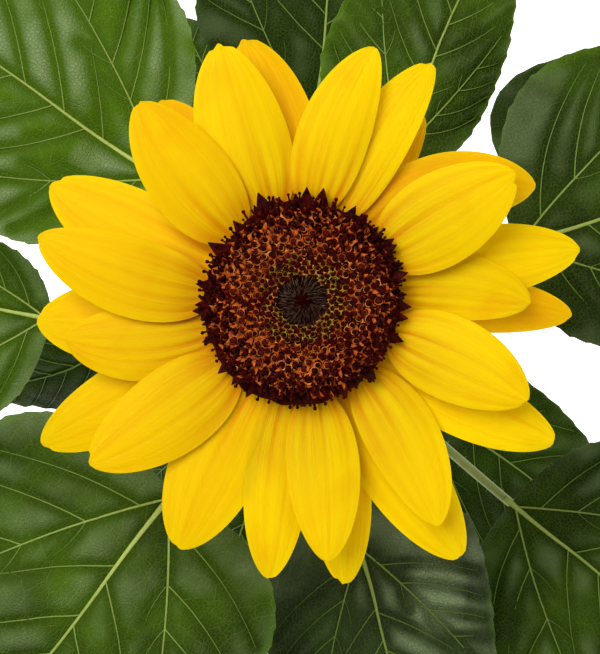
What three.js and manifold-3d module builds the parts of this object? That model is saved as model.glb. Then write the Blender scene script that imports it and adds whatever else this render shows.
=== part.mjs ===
// A dwarf sunflower in full flower, rooted in level ground. Millimetres, +Z up.
// One gently swaying stem carries a spiral of leaves and a single open head that faces the sky.
// The origin is the centre of the flat cut under the stem, at ground level.

import * as THREE from "three";
import { mergeVertices } from "three/addons/utils/BufferGeometryUtils.js";
import Module from "manifold-3d";

const wasm = await Module();
wasm.setup();

// The whole plant
const RIM_HEIGHT = 520; // ground to the rim of the head, where the petals are set
const HEAD_X = 9; // how far the stem leans before it turns upright under the head
const HEAD_Y = -6;
const SWAY_X = -6; // the stem's bow between foot and head
const SWAY_Y = 4;
const CLEARANCE = 0.3; // gap left between neighbouring pieces

// Stem
const FOOT_RADIUS = 9.5;
const FLARE_HEIGHT = 24;
const LOWER_RADIUS = 6.6;
const NECK_RADIUS = 4.8;
const STEM_SIDES = 12;
const STEM_STEPS = 22;
const STEM_ROW_EASE = 1.25; // the stem's rings stand closer in the flare

// Head
const RIM_RADIUS = 27.5;
const CUP_DEPTH = 28; // rim down to the neck
const CUP_WALL = 9; // height of the upright wall that the petals are set in
const CUP_SIDES = 36;
const CUP_PROFILE = [
  // radius, depth under the rim, from the neck up to the foot of the wall
  [NECK_RADIUS + 0.6, CUP_DEPTH],
  [NECK_RADIUS + 3, 21],
  [16, 15],
  [23.5, 11],
  [RIM_RADIUS, CUP_WALL],
];
const DISC_RADIUS = 26.8;
const DISC_PROFILE = [
  // share of the radius, height over the rim: the ring of open florets stands over the young centre
  [1, 4.2],
  [0.9, 7.2],
  [0.55, 7.2],
  [0.25, 4.6],
  [0, 4],
];
const RIM_FLORETS = 34;
const FLORET_RADIUS = 1.0;
const FLORET_ROOT = 4; // a rim floret starts this far inside the disc's edge, at this height
const FLORET_FOOT = 2.5;
const FLORET_REACH = 3.6; // and leans this far past it, up to this height
const FLORET_RISE = 7;
const FLORET_SIDES = 4;

// Bracts under the head: each ring has its count, depth under the rim, length, width and pitch in degrees
const BRACT_THICKNESS = 0.9;
const BRACT_POINT = 1.6; // the higher, the later the bract narrows
const BRACT_TIP = 0.05; // its width at the tip, as a share
const BRACT_STEPS = 4;
const BRACT_CELLS = 2;
const BRACT_RINGS = [
  { count: 13, depth: 10.5, root: 20, length: 26, width: 10.5, pitch: -8, turn: 6 },
  { count: 11, depth: 13.5, root: 15, length: 28, width: 10, pitch: -24, turn: 20 },
];

// Blades of leaves, petals and bracts
const ROW_EASE = 1.35; // the rows of a blade stand closer towards its base
const LEAF_SHAPE = { rise: 0.42, fall: 0.95, base: 0.004, tip: 0.996, least: 0.02 };
const PETAL_SHAPE = { rise: 0.6, fall: 0.7, base: 0.02, tip: 0.996, least: 0.03 };

// Petals
const PETAL_THICKNESS = 0.7;
const PETAL_STEPS = 8;
const PETAL_CELLS = 4;
const PETAL_CAMBER = 0.1; // how far the edges fall, as a share of the half width
const PETAL_DROP = 0.1; // how far the tip falls, as a share of the length
const PETAL_HANDLE = 0.5; // how long a petal keeps straight out from the rim, as a share of its length
const TIER_SPACING = 1.5; // the petals are set in five tiers, one over another, on the cup's wall
const TOP_TIER = 4;
const TOP_TIER_DEPTH = 1.2;
const LOWEST_TIER_SLOPE = -6; // degrees over the level
const SLOPE_PER_TIER = 5;

// Each petal: the angles of its root and tip about the head, the tip's distance, its width, and its tier
const PETALS = [
  { root: 9, tip: 0, reach: 63.5, width: 18.5, tier: 2 },
  { root: 19, tip: 12, reach: 78, width: 21, tier: 1 },
  { root: 39, tip: 29.5, reach: 67, width: 26, tier: 4 },
  { root: 47, tip: 24.5, reach: 71, width: 20, tier: 2 },
  { root: 52, tip: 54.5, reach: 60, width: 14, tier: 0 },
  { root: 58, tip: 60, reach: 74, width: 21, tier: 1 },
  { root: 79, tip: 74, reach: 73.5, width: 26.5, tier: 4 },
  { root: 96, tip: 101.5, reach: 74.5, width: 21, tier: 1 },
  { root: 111, tip: 107, reach: 75, width: 24, tier: 3 },
  { root: 121, tip: 125, reach: 69, width: 17, tier: 0 },
  { root: 132, tip: 131, reach: 71, width: 26, tier: 4 },
  { root: 159, tip: 156, reach: 76.5, width: 21, tier: 1 },
  { root: 176, tip: 167, reach: 74.5, width: 23, tier: 3 },
  { root: 186, tip: 184, reach: 72.5, width: 19, tier: 0 },
  { root: 197, tip: 187, reach: 65.5, width: 18.5, tier: 2 },
  { root: 210, tip: 209, reach: 82, width: 19, tier: 0 },
  { root: 221, tip: 217.5, reach: 73, width: 23.5, tier: 3 },
  { root: 239, tip: 242, reach: 76, width: 21, tier: 2 },
  { root: 258, tip: 263, reach: 76.5, width: 18, tier: 3 },
  { root: 281, tip: 276, reach: 71, width: 19, tier: 2 },
  { root: 290, tip: 278.5, reach: 78, width: 17, tier: 0 },
  { root: 300, tip: 302, reach: 83, width: 25, tier: 1 },
  { root: 311, tip: 303, reach: 72.5, width: 24, tier: 3 },
  { root: 326, tip: 330, reach: 79, width: 20, tier: 2 },
  { root: 341, tip: 336.5, reach: 68.5, width: 25, tier: 4 },
  { root: 354, tip: 356, reach: 75, width: 15, tier: 0 },
];

// Leaves
const LEAF_THICKNESS = 1.5;
const LEAF_STEPS = 9;
const LEAF_CELLS = 4;
const LEAF_FOLD = 0.1; // the blade's rise from the midrib, per millimetre of half width
const LEAF_DROOP = 0.22; // the fall of its edges
const PETIOLE_RADIUS = 2.0;
const PETIOLE_SIDES = 6;
const PETIOLE_STEPS = 7;
const JOINT_SWELL = 1.5; // the petiole is this much thicker where it joins the stem
const JOINT_TAPER = 6; // how soon that swelling ends
const PETIOLE_TAPER = 0.35; // how much thinner it is at the midrib's end
const PETIOLE_SINK = 0.6; // how far below the blade its centre runs, in petiole radii
const JOINT_HANDLE = 0.16; // how long it keeps level at the joint, as a share of its span
const ARCH_HANDLE = 0.5; // and how long it keeps the blade's slope at the base
const MIDRIB_SHARE = 0.2; // how far it runs on under the blade as its midrib

// Each leaf, from the topmost down. joint is the height of its petiole's joint on the stem, and lift is the
// height of the blade's base over that. angle and reach place the base about the head's axis, and heading is
// the midrib's way, all seen from above. left and right are the blade's half widths, and lobe is how far its
// base reaches back past the petiole, as a share of the length. rise is the midrib's pitch at its base and
// fall at its tip, and roll tips the blade about it. Angles are in degrees.
const LEAVES = [
  // joint, lift, angle, reach, heading, length, left, right, lobe, rise, fall, roll
  [416, 44, 235.5, 69, 232, 138, 57, 57, 0.08, 6, -28, 0],
  [396, 46, 16, 69, 15, 120, 53, 43, -0.02, 8, -34, 6],
  [376, 46, 137.5, 59, 146, 122, 48, 50, -0.07, 10, -30, -4],
  [354, 48, 283.5, 80, 285, 110, 41, 39, 0.27, 8, -34, -4],
  [346, 76, 57.5, 58, 68, 98, 35, 22, 0.03, 14, -26, 12],
  [322, 60, 184, 85, 171, 104, 42, 23, -0.03, 4, -34, -8],
  [300, 66, 317, 99, 320, 122, 50, 50, 0, 4, -32, 0],
  [286, 58, 86.5, 64, 83, 114, 50, 46, -0.14, 8, -32, 0],
  [262, 48, 28, 92, 20, 100, 43, 38, 0.12, 4, -38, 0],
  [240, 38, 192, 52, 197, 88, 27, 27, 0.06, 2, -40, -38],
  [218, 40, 322, 60, 325, 116, 34, 40, 0.06, 4, -36, 6],
  [196, 34, 112, 50, 112, 90, 33, 33, 0.06, 0, -36, 0],
  [174, 30, 256, 52, 254, 100, 36, 36, 0.06, -8, -52, 0],
  [132, 22, 48, 44, 48, 72, 26, 26, 0.05, -14, -60, 0],
  [132, 22, 228, 46, 229, 84, 30, 30, 0.05, -14, -60, 0],
  [92, 14, 110, 40, 110, 70, 24, 24, 0.05, -18, -56, 0],
  [92, 14, 290, 40, 290, 72, 25, 25, 0.05, -18, -56, 0],
].map(([joint, lift, angle, reach, heading, length, left, right, lobe, rise, fall, roll]) => {
  return { joint, lift, angle, reach, heading, length, left, right, lobe, rise, fall, roll };
});

const UP = new THREE.Vector3(0, 0, 1);
const STEM_GREEN = { color: 0x7f9a4a, roughness: 0.7, metalness: 0 };
const LEAF_GREEN = { color: 0x2f5a1c, roughness: 0.55, metalness: 0 };
const BRACT_GREEN = { color: 0x4c7a2c, roughness: 0.65, metalness: 0 };
const PETAL_YELLOW = { color: 0xffcc00, roughness: 0.5, metalness: 0 };
const DISC_BROWN = { color: 0x3a1408, roughness: 0.8, metalness: 0 };

const radians = THREE.MathUtils.degToRad;

function direction(degrees) {
  return new THREE.Vector3(Math.cos(radians(degrees)), Math.sin(radians(degrees)), 0);
}

// A closed solid with shared vertices from a three.js geometry.
function solidOf(geometry) {
  const bare = geometry.clone();
  bare.deleteAttribute("normal");
  bare.deleteAttribute("uv");
  const shared = mergeVertices(bare, 1e-4);
  return new wasm.Manifold(
    new wasm.Mesh({
      numProp: 3,
      vertProperties: shared.attributes.position.array,
      triVerts: new Uint32Array(shared.index.array),
    }),
  );
}

function geometryOf(solid) {
  const mesh = solid.getMesh();
  const geometry = new THREE.BufferGeometry();
  geometry.setAttribute("position", new THREE.BufferAttribute(new Float32Array(mesh.vertProperties), 3));
  geometry.setIndex(new THREE.BufferAttribute(new Uint32Array(mesh.triVerts), 1));
  geometry.computeVertexNormals();
  return geometry;
}

function fused(geometries) {
  return geometries.map(solidOf).reduce((whole, next) => whole.add(next));
}

function indexed(points, faces) {
  const geometry = new THREE.BufferGeometry().setFromPoints(points);
  geometry.setIndex(faces);
  return geometry;
}

// A tapering limb with flat ends along a curve.
function limb(curve, radiusAt, sides, steps) {
  const frames = curve.computeFrenetFrames(steps, false);
  const points = [];
  const faces = [];
  for (let i = 0; i <= steps; i++) {
    const centre = curve.getPointAt(i / steps);
    for (let j = 0; j < sides; j++) {
      const turn = (2 * Math.PI * j) / sides;
      const radius = radiusAt(i / steps);
      points.push(
        centre
          .clone()
          .addScaledVector(frames.normals[i], Math.cos(turn) * radius)
          .addScaledVector(frames.binormals[i], Math.sin(turn) * radius),
      );
    }
  }
  for (let i = 0; i < steps; i++) {
    for (let j = 0; j < sides; j++) {
      const next = (j + 1) % sides;
      const a = i * sides + j;
      const b = i * sides + next;
      faces.push(a, b, b + sides, a, b + sides, a + sides);
    }
  }
  const last = steps * sides;
  for (let j = 1; j < sides - 1; j++) {
    faces.push(0, j + 1, j, last, last + j, last + j + 1);
  }
  return indexed(points, faces);
}

// A thin blade of even thickness on the surface at(s, t), s from 0 to 1 along it and t from -1 to 1 across.
function blade(at, steps, cells, thickness) {
  const nudge = 1e-3;
  const columns = cells + 1;
  const layers = [1, -1].map(() => []);
  for (let i = 0; i <= steps; i++) {
    for (let j = 0; j <= cells; j++) {
      const s = (i / steps) ** ROW_EASE;
      const t = (2 * j) / cells - 1;
      const along = at(Math.min(s + nudge, 1), t).sub(at(Math.max(s - nudge, 0), t));
      const across = at(s, Math.min(t + nudge, 1)).sub(at(s, Math.max(t - nudge, -1)));
      const normal = along.cross(across).normalize();
      layers[0].push(at(s, t).addScaledVector(normal, thickness / 2));
      layers[1].push(at(s, t).addScaledVector(normal, -thickness / 2));
    }
  }
  const count = (steps + 1) * columns;
  const faces = [];
  for (let i = 0; i < steps; i++) {
    for (let j = 0; j < cells; j++) {
      const a = i * columns + j;
      const b = a + columns;
      faces.push(a, b, b + 1, a, b + 1, a + 1);
      faces.push(a + count, b + 1 + count, b + count, a + count, a + 1 + count, b + 1 + count);
    }
  }
  const rim = [];
  for (let j = 0; j < cells; j++) rim.push(j);
  for (let i = 0; i < steps; i++) rim.push(i * columns + cells);
  for (let j = cells; j > 0; j--) rim.push(steps * columns + j);
  for (let i = steps; i > 0; i--) rim.push(i * columns);
  rim.forEach((a, k) => {
    const b = rim[(k + 1) % rim.length];
    faces.push(a, b, b + count, a, b + count, a + count);
  });
  return indexed([...layers[0], ...layers[1]], faces);
}

// The stem's centre at a height: a lean that starts and ends upright, with a bow between.
function stemCentre(height) {
  const share = THREE.MathUtils.clamp(height / RIM_HEIGHT, 0, 1);
  const lean = THREE.MathUtils.smoothstep(share, 0, 1);
  const bow = Math.sin(Math.PI * share) ** 2;
  return new THREE.Vector3(HEAD_X * lean + SWAY_X * bow, HEAD_Y * lean + SWAY_Y * bow, height);
}

function stemRadius(height) {
  const flare = Math.exp((-2 * height) / FLARE_HEIGHT) * (FOOT_RADIUS - LOWER_RADIUS);
  const taper = THREE.MathUtils.lerp(LOWER_RADIUS, NECK_RADIUS, height / RIM_HEIGHT);
  return taper + flare;
}

function stemGeometry() {
  const top = RIM_HEIGHT - CUP_DEPTH - CLEARANCE;
  const heights = Array.from({ length: STEM_STEPS + 1 }, (_, i) => top * (i / STEM_STEPS) ** STEM_ROW_EASE);
  const points = [];
  const faces = [];
  heights.forEach((height) => {
    for (let j = 0; j < STEM_SIDES; j++) {
      points.push(stemCentre(height).addScaledVector(direction((360 * j) / STEM_SIDES), stemRadius(height)));
    }
  });
  for (let i = 0; i < STEM_STEPS; i++) {
    for (let j = 0; j < STEM_SIDES; j++) {
      const a = i * STEM_SIDES + j;
      const b = i * STEM_SIDES + ((j + 1) % STEM_SIDES);
      faces.push(a, b, b + STEM_SIDES, a, b + STEM_SIDES, a + STEM_SIDES);
    }
  }
  const last = STEM_STEPS * STEM_SIDES;
  for (let j = 1; j < STEM_SIDES - 1; j++) {
    faces.push(0, j + 1, j, last, last + j, last + j + 1);
  }
  return indexed(points, faces);
}

// A share of the half width along a blade, 1 at its widest, cut short of both ends so that neither is a point.
function outline(s, { rise, fall, base, tip, least }) {
  const spread = (share) => share ** rise * (1 - share) ** fall;
  return Math.max(spread(THREE.MathUtils.lerp(base, tip, s)) / spread(rise / (rise + fall)), least);
}

// The blade's base, the petiole's joint and the blade's own directions for one leaf.
function leafFrame(leaf) {
  const base = new THREE.Vector3(HEAD_X, HEAD_Y, leaf.joint + leaf.lift);
  base.addScaledVector(direction(leaf.angle), leaf.reach);
  const centre = stemCentre(leaf.joint);
  const outward = base.clone().sub(centre).setZ(0).normalize();
  const joint = centre.addScaledVector(outward, stemRadius(leaf.joint) + CLEARANCE);
  const heading = direction(leaf.heading);
  return { base, joint, outward, heading, side: new THREE.Vector3().crossVectors(UP, heading) };
}

// A leaf blade: a pointed heart, its midrib an arc in an upright plane, folded a little, its edges falling.
function leafSurface(leaf) {
  const { base, heading, side } = leafFrame(leaf);
  const start = radians(leaf.rise);
  const end = radians(leaf.fall);
  const bend = (end - start) / leaf.length;
  const roll = radians(leaf.roll);
  return (s, t) => {
    const share = outline(s, LEAF_SHAPE);
    const half = t < 0 ? leaf.right : leaf.left;
    const y = t * half * share;
    const x = leaf.length * (s - leaf.lobe * Math.abs(t) * share * (1 - s) ** 2);
    const pitch = start + bend * x;
    const out = (Math.sin(pitch) - Math.sin(start)) / bend;
    const up = (Math.cos(start) - Math.cos(pitch)) / bend;
    const normal = heading.clone().multiplyScalar(-Math.sin(pitch)).addScaledVector(UP, Math.cos(pitch));
    const lift = LEAF_FOLD * Math.abs(y) - (LEAF_DROOP * y * y) / half;
    return base
      .clone()
      .addScaledVector(heading, out)
      .addScaledVector(UP, up)
      .addScaledVector(side, y * Math.cos(roll) - lift * Math.sin(roll))
      .addScaledVector(normal, y * Math.sin(roll) + lift * Math.cos(roll));
  };
}

// The petiole leaves the stem level, climbs at once, arches over and runs on under the blade as its midrib.
function petioleCurve(leaf) {
  const { base, joint, outward, heading } = leafFrame(leaf);
  const surface = leafSurface(leaf);
  const span = base.distanceTo(joint);
  const curve = new THREE.CurvePath();
  const into = heading.clone().multiplyScalar(Math.cos(radians(leaf.rise)));
  into.addScaledVector(UP, Math.sin(radians(leaf.rise)));
  const under = UP.clone().multiplyScalar(-PETIOLE_RADIUS * PETIOLE_SINK);
  curve.add(
    new THREE.CubicBezierCurve3(
      joint,
      joint.clone().addScaledVector(outward, span * JOINT_HANDLE),
      base.clone().addScaledVector(into, -span * ARCH_HANDLE).add(under),
      base.clone().add(under),
    ),
  );
  const end = surface(MIDRIB_SHARE, 0).add(under);
  curve.add(new THREE.LineCurve3(base.clone().add(under), end));
  return curve;
}

function leafGeometry(leaf) {
  const radiusAt = (share) => {
    const swell = (JOINT_SWELL - 1) * (1 - share) ** JOINT_TAPER;
    return PETIOLE_RADIUS * (1 + swell - PETIOLE_TAPER * share);
  };
  const petiole = limb(petioleCurve(leaf), radiusAt, PETIOLE_SIDES, PETIOLE_STEPS);
  return geometryOf(fused([blade(leafSurface(leaf), LEAF_STEPS, LEAF_CELLS, LEAF_THICKNESS), petiole]));
}

// A petal leaves the rim straight outwards and bends towards its tip, with edges and tip falling.
function petalSurface(petal) {
  const depth = TOP_TIER_DEPTH + (TOP_TIER - petal.tier) * TIER_SPACING;
  const centre = new THREE.Vector3(HEAD_X, HEAD_Y, RIM_HEIGHT - depth);
  const root = centre.clone().addScaledVector(direction(petal.root), RIM_RADIUS + CLEARANCE);
  const tip = centre.clone().addScaledVector(direction(petal.tip), petal.reach);
  const length = root.distanceTo(tip);
  const bend = root.clone().addScaledVector(direction(petal.root), length * PETAL_HANDLE);
  const midline = new THREE.QuadraticBezierCurve3(root, bend, tip);
  const slope = Math.tan(radians(LOWEST_TIER_SLOPE + SLOPE_PER_TIER * petal.tier));
  return (s, t) => {
    const half = (petal.width / 2) * outline(s, PETAL_SHAPE);
    const side = new THREE.Vector3().crossVectors(UP, midline.getTangent(s));
    const rise = length * (slope * s - PETAL_DROP * s * s) - PETAL_CAMBER * half * t * t;
    return midline.getPoint(s).addScaledVector(side, t * half).addScaledVector(UP, rise);
  };
}

// A pointed bract that lies under the petals, its root sunk in the cup.
function bractGeometry(ring, index) {
  const heading = direction(ring.turn + (360 * index) / ring.count);
  const side = new THREE.Vector3().crossVectors(UP, heading);
  const root = new THREE.Vector3(HEAD_X, HEAD_Y, RIM_HEIGHT - ring.depth).addScaledVector(heading, ring.root);
  const slope = Math.tan(radians(ring.pitch));
  const surface = (s, t) => {
    const half = (ring.width / 2) * Math.max(1 - s ** BRACT_POINT, BRACT_TIP);
    return root
      .clone()
      .addScaledVector(heading, ring.length * s)
      .addScaledVector(side, half * t)
      .addScaledVector(UP, ring.length * slope * s);
  };
  return blade(surface, BRACT_STEPS, BRACT_CELLS, BRACT_THICKNESS);
}

// A round body about the head's axis from pairs of radius and height over the rim.
function lathe(profile) {
  const points = profile.map(([radius, height]) => new THREE.Vector2(radius, height));
  const geometry = new THREE.LatheGeometry(points, CUP_SIDES);
  return geometry.rotateX(Math.PI / 2).translate(HEAD_X, HEAD_Y, RIM_HEIGHT);
}

// The green cup that carries the disc, with its rings of bracts.
function involucreGeometry() {
  const side = CUP_PROFILE.map(([radius, depth]) => [radius, -depth]);
  const cup = lathe([[0, -CUP_DEPTH], ...side, [RIM_RADIUS, 0], [0, 0]]);
  const bracts = BRACT_RINGS.flatMap((ring) => {
    return Array.from({ length: ring.count }, (_, index) => bractGeometry(ring, index));
  });
  return geometryOf(fused([cup, ...bracts]));
}

// The brown disc: a low ring of open florets about a hollow young centre, with the rim florets leaning out.
function discGeometry() {
  const top = DISC_PROFILE.map(([share, height]) => [DISC_RADIUS * share, height]);
  const cushion = lathe([[0, CLEARANCE], [DISC_RADIUS, CLEARANCE], ...top]);
  const florets = Array.from({ length: RIM_FLORETS }, (_, i) => {
    const outward = direction((360 * i) / RIM_FLORETS);
    const centre = new THREE.Vector3(HEAD_X, HEAD_Y, RIM_HEIGHT);
    const foot = centre.clone().addScaledVector(outward, DISC_RADIUS - FLORET_ROOT);
    const tip = centre.clone().addScaledVector(outward, DISC_RADIUS + FLORET_REACH);
    foot.z += FLORET_FOOT;
    tip.z += FLORET_RISE;
    return limb(new THREE.LineCurve3(foot, tip), () => FLORET_RADIUS, FLORET_SIDES, 1);
  });
  return geometryOf(fused([cushion, ...florets]));
}

const plant = new THREE.Group();

function addPiece(name, geometry, look) {
  const mesh = new THREE.Mesh(geometry, new THREE.MeshStandardMaterial(look));
  mesh.name = name;
  plant.add(mesh);
}

function numbered(name, index) {
  return `${name}_${String(index + 1).padStart(2, "0")}`;
}

addPiece("stem", stemGeometry(), STEM_GREEN);
LEAVES.forEach((leaf, i) => addPiece(numbered("leaf", i), leafGeometry(leaf), LEAF_GREEN));
addPiece("involucre", involucreGeometry(), BRACT_GREEN);
PETALS.forEach((petal, i) => {
  const surface = petalSurface(petal);
  addPiece(numbered("petal", i), blade(surface, PETAL_STEPS, PETAL_CELLS, PETAL_THICKNESS), PETAL_YELLOW);
});
addPiece("disc", discGeometry(), DISC_BROWN);

export default plant;
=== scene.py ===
# A dwarf sunflower in full flower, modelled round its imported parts: a stem, seventeen leaves and one head.
# Shapes are worked out in millimetres and become metres where a mesh is made. +Z is up, the ground is at 0.
import math
from types import SimpleNamespace

import bpy
import numpy as np
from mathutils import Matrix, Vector
from mathutils.geometry import delaunay_2d_cdt


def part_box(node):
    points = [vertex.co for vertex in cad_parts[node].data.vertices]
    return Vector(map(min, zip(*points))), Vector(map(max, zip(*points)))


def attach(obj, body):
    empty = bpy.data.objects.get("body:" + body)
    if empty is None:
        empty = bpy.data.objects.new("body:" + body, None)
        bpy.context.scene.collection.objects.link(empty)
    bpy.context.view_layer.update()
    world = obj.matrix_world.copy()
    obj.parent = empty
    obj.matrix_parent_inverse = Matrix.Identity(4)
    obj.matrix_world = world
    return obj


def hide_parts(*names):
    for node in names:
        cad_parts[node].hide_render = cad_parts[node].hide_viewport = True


bl_info = {
    "name": "Sunflower Plant",
    "version": (1, 0, 0),
    "blender": (4, 5, 0),
    "location": "3D View > Sidebar > Sunflower",
    "description": "Builds a dwarf sunflower in full flower, piece by piece",
    "category": "Add Mesh",
}

MM = 0.001
GOLDEN_TURN = math.pi * (3 - math.sqrt(5))
UP = np.array([0.0, 0.0, 1.0])
FAR = 1e9  # a distance to begin with, further than any here

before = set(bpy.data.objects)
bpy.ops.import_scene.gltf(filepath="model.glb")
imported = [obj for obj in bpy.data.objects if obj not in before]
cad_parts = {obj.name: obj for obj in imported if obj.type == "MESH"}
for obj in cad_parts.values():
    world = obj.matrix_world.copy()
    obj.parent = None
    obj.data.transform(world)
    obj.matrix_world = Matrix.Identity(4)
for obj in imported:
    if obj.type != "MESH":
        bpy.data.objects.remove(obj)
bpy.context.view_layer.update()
DISC_LOW, DISC_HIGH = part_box("disc")
CLEARANCE = 0.3  # the gap between neighbouring CAD pieces
RIM_HEIGHT = DISC_LOW.z / MM - CLEARANCE
HEAD_X, HEAD_Y = ((DISC_LOW + DISC_HIGH) / 2 / MM)[:2]
RIM_CENTRE = np.array([HEAD_X, HEAD_Y, RIM_HEIGHT])

# Each leaf from the topmost down, close to the solid that it stands for. joint is the height of its petiole's
# joint on the stem and lift the height of the blade's base over that. angle and reach place the base about
# the head's axis, heading is the midrib's way, left and right are the half widths, lobe is how far the base
# reaches back past the petiole as a share of the length, rise and fall are the midrib's pitch at base and
# tip, and roll tips the blade about it. Angles are in degrees. tint runs from a deep green at 0 to a fresh
# yellow-green at 1; its low values are partly painted shade, for leaves that lie in shade.
# gloss runs from dull to shiny, and also sets how much painted sheen the upper side gets.
LEAF_COLUMNS = "joint lift angle reach heading length left right lobe rise fall roll tint gloss".split()
LEAVES = [
    (416, 44, 235.5, 69, 232, 138, 55.2, 60.5, 0.08, 6, -28, 0, 0.48, 0.34),
    (396, 46, 16, 69, 15, 120, 52.6, 41, 0.02, 8, -34, 6, 0.22, 0.3),
    (376, 46, 137.5, 59, 146, 122, 44.6, 52, -0.07, 10, -30, -4, 1.3, 0.8),
    (354, 48, 283.5, 80, 286, 104, 39, 39, 0.34, 8, -34, -4, 0, 1),
    (346, 76, 57.5, 58, 68, 98, 35, 22, 0.03, 14, -26, 12, 0.5, 0.3),
    (322, 60, 182.8, 85, 171, 104, 42, 24.4, -0.03, 4, -34, -8, 0.75, 0.5),
    (300, 66, 317, 99, 320, 122, 48, 50, 0, 4, -32, 0, 0.3, 0.34),
    (286, 58, 86.5, 64, 83, 114, 47, 46, -0.14, 8, -32, 0, -0.1, 0.2),
    (262, 48, 28, 92, 20, 100, 43, 38, 0.12, 4, -38, 0, 0.1, 0),
    (240, 38, 192, 52, 197, 88, 27, 27, 0.06, 2, -40, -38, 0.1, 0),
    (218, 40, 322, 60, 325, 116, 31, 40, 0.06, 4, -36, 6, 0.15, 0),
    (196, 34, 112, 50, 112, 90, 33, 33, 0.06, 0, -36, 0, 0.2, 0),
    (174, 30, 256, 52, 254, 100, 36, 36, 0.06, -8, -52, 0, 0.1, 0),
    (132, 22, 48, 44, 48, 72, 26, 26, 0.05, -14, -60, 0, 0.3, 0),
    (132, 22, 228, 46, 229, 84, 30, 30, 0.05, -14, -60, 0, 0.3, 0),
    (92, 14, 110, 40, 110, 70, 24, 24, 0.05, -18, -56, 0, 0.4, 0),
    (92, 14, 290, 40, 290, 72, 25, 25, 0.05, -18, -56, 0, 0.4, 0),
]
SHARP_LEAVES = 8  # the upper leaves, which have the finer mesh

# Each petal, close to the solid that it stands for: the angles of its root and tip about the head, the tip's
# distance, its width and its tier, with how far its tip curls down and how deep the notch in its end is.
PETAL_COLUMNS = "root tip reach width tier curl notch".split()
PETALS = [
    (9, 0, 63.5, 18.5, 2, 0.6, 0.4),
    (14, 11, 79.5, 20.7, 1, 0.8, 0.6),
    (31, 31.4, 68.2, 25.5, 4, 0.8, 0.9),
    (45, 26.6, 72.8, 22.4, 2, 2.6, 0.2),
    (54, 56.8, 63, 9, 0, 0.4, 0.1),
    (67, 61.3, 75.4, 17.5, 3, 0.6, 1.1),
    (82, 73.9, 72.4, 20, 4, 0.4, 0.1),
    (96, 102.4, 76, 22, 1, 0.5, 1),
    (111, 107.5, 75, 25.5, 3, 0.6, 1.6),
    (121, 125, 70, 16, 0, 0.4, 0.5),
    (133.5, 129.2, 70.7, 23.6, 4, 0.5, 0.6),
    (158.5, 154.5, 78, 23.8, 1, 0.5, 0.8),
    (174, 165.6, 74.9, 22.1, 3, 0.5, 0.5),
    (187, 183.6, 75.2, 24.6, 0, 0.6, 0.4),
    (197, 188.3, 66.5, 21.5, 2, 0.5, 0.6),
    (209, 208.3, 84, 21.6, 0, 0.8, 0.5),
    (221, 217, 73.4, 24, 3, 0.6, 0.7),
    (241, 243.4, 76.3, 25.4, 2, 0.6, 0.5),
    (261.5, 263.2, 77.2, 18.3, 2, 0.8, 0.3),
    (278, 275.6, 71.6, 20.4, 3, 0.5, 0.3),
    (282.5, 278.6, 80.8, 18.6, 0, 0.5, 1.2),
    (299.6, 302, 84.4, 22.6, 1, 0.6, 0.6),
    (309.5, 301.4, 71.8, 20.4, 3, 0.4, 0.3),
    (327, 331.4, 80.3, 19.7, 2, 0.8, 0.5),
    (341, 336.4, 67.3, 23.2, 4, 0.5, 0.5),
    (1, 357.6, 76.6, 16, 0, 0.5, 0.4),
]

# Painted shade: these petals lie under others, and their deeper orange yellow stands in for the shade there.
SHADED_PETALS = {4, 5, 8, 10, 26}  # the petals of a deeper, more orange yellow

# The cup under the head, as radius and depth below the rim, and the disc, as share of its radius and height
CUP_PROFILE = [(5.4, 28), (7.8, 21), (16, 15), (23.5, 11), (27.2, 9), (26.4, 5), (24.5, 0)]
DISC_PROFILE = [(0, 4), (0.25, 4.6), (0.55, 7.2), (0.9, 7.2), (1, 4.2)]

# How far the disc's rim stands out, in millimetres, at turns about the head in degrees
RIM_REACH = [
    (0, -0.8), (40, 0.9), (75, -0.2), (105, 1.2), (135, -0.9), (180, -0.5),
    (215, 0), (233, 0.9), (270, 0.6), (312, -0.7), (345, -0.8),
]

# Bracts under the head, one row a ring: their number, the turn of the first, the depth below the rim, the
# distance of the roots from the axis, and a bract's length, width and pitch. Angles are in degrees.
BRACT_RINGS = [(13, 6, 10.5, 20, 26, 10.5, -8), (11, 20, 13.5, 15, 28, 10, -24)]


def length(name, description, millimetres, least=0.0):
    """A size in metres for the sidebar, its default told in millimetres."""
    return bpy.props.FloatProperty(
        name=name,
        description=description,
        default=millimetres * MM,
        min=least * MM,
        unit="LENGTH",
        precision=4,
    )


def share(name, description, default):
    """A size told as a share of another."""
    return bpy.props.FloatProperty(
        name=name, description=description, default=default, min=0, max=1, subtype="FACTOR"
    )


def amount(name, description, default, least=0.0, unit="NONE"):
    """A plain number for the sidebar."""
    return bpy.props.FloatProperty(name=name, description=description, default=default, min=least, unit=unit)


def colour(name, description, *display):
    """A colour for the sidebar, its default told as red, green and blue from 0 to 255."""
    linear = [((c / 255 + 0.055) / 1.055) ** 2.4 if c > 10 else c / 255 / 12.92 for c in display]
    return bpy.props.FloatVectorProperty(
        name=name, description=description, default=linear, min=0, max=1, size=3, subtype="COLOR"
    )


class StemSizes(bpy.types.PropertyGroup):
    """The stem and its hairs."""

    sway_x: length("Sway X", "The stem's bow to the right between foot and head", -6, least=-50)
    sway_y: length("Sway Y", "The stem's bow to the back between foot and head", 4, least=-50)
    foot_radius: length("Foot Radius", "Radius of the flat cut at the ground", 9.5)
    flare_height: length("Flare Height", "How far up the root flare reaches", 24)
    lower_radius: length("Lower Radius", "Radius over the flare", 6.6)
    neck_radius: length("Neck Radius", "Radius under the head", 4.8)
    rib_depth: length("Rib Depth", "Depth of the furrows between the ribs", 0.28)
    ribs: bpy.props.IntProperty(name="Ribs", description="Ribs round the stem", default=11, min=3)
    hairs: bpy.props.IntProperty(name="Hairs", description="Bristles on the stem", default=1500, min=0)
    hair_length: length("Hair Length", "Length of a bristle", 1.9)


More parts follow.
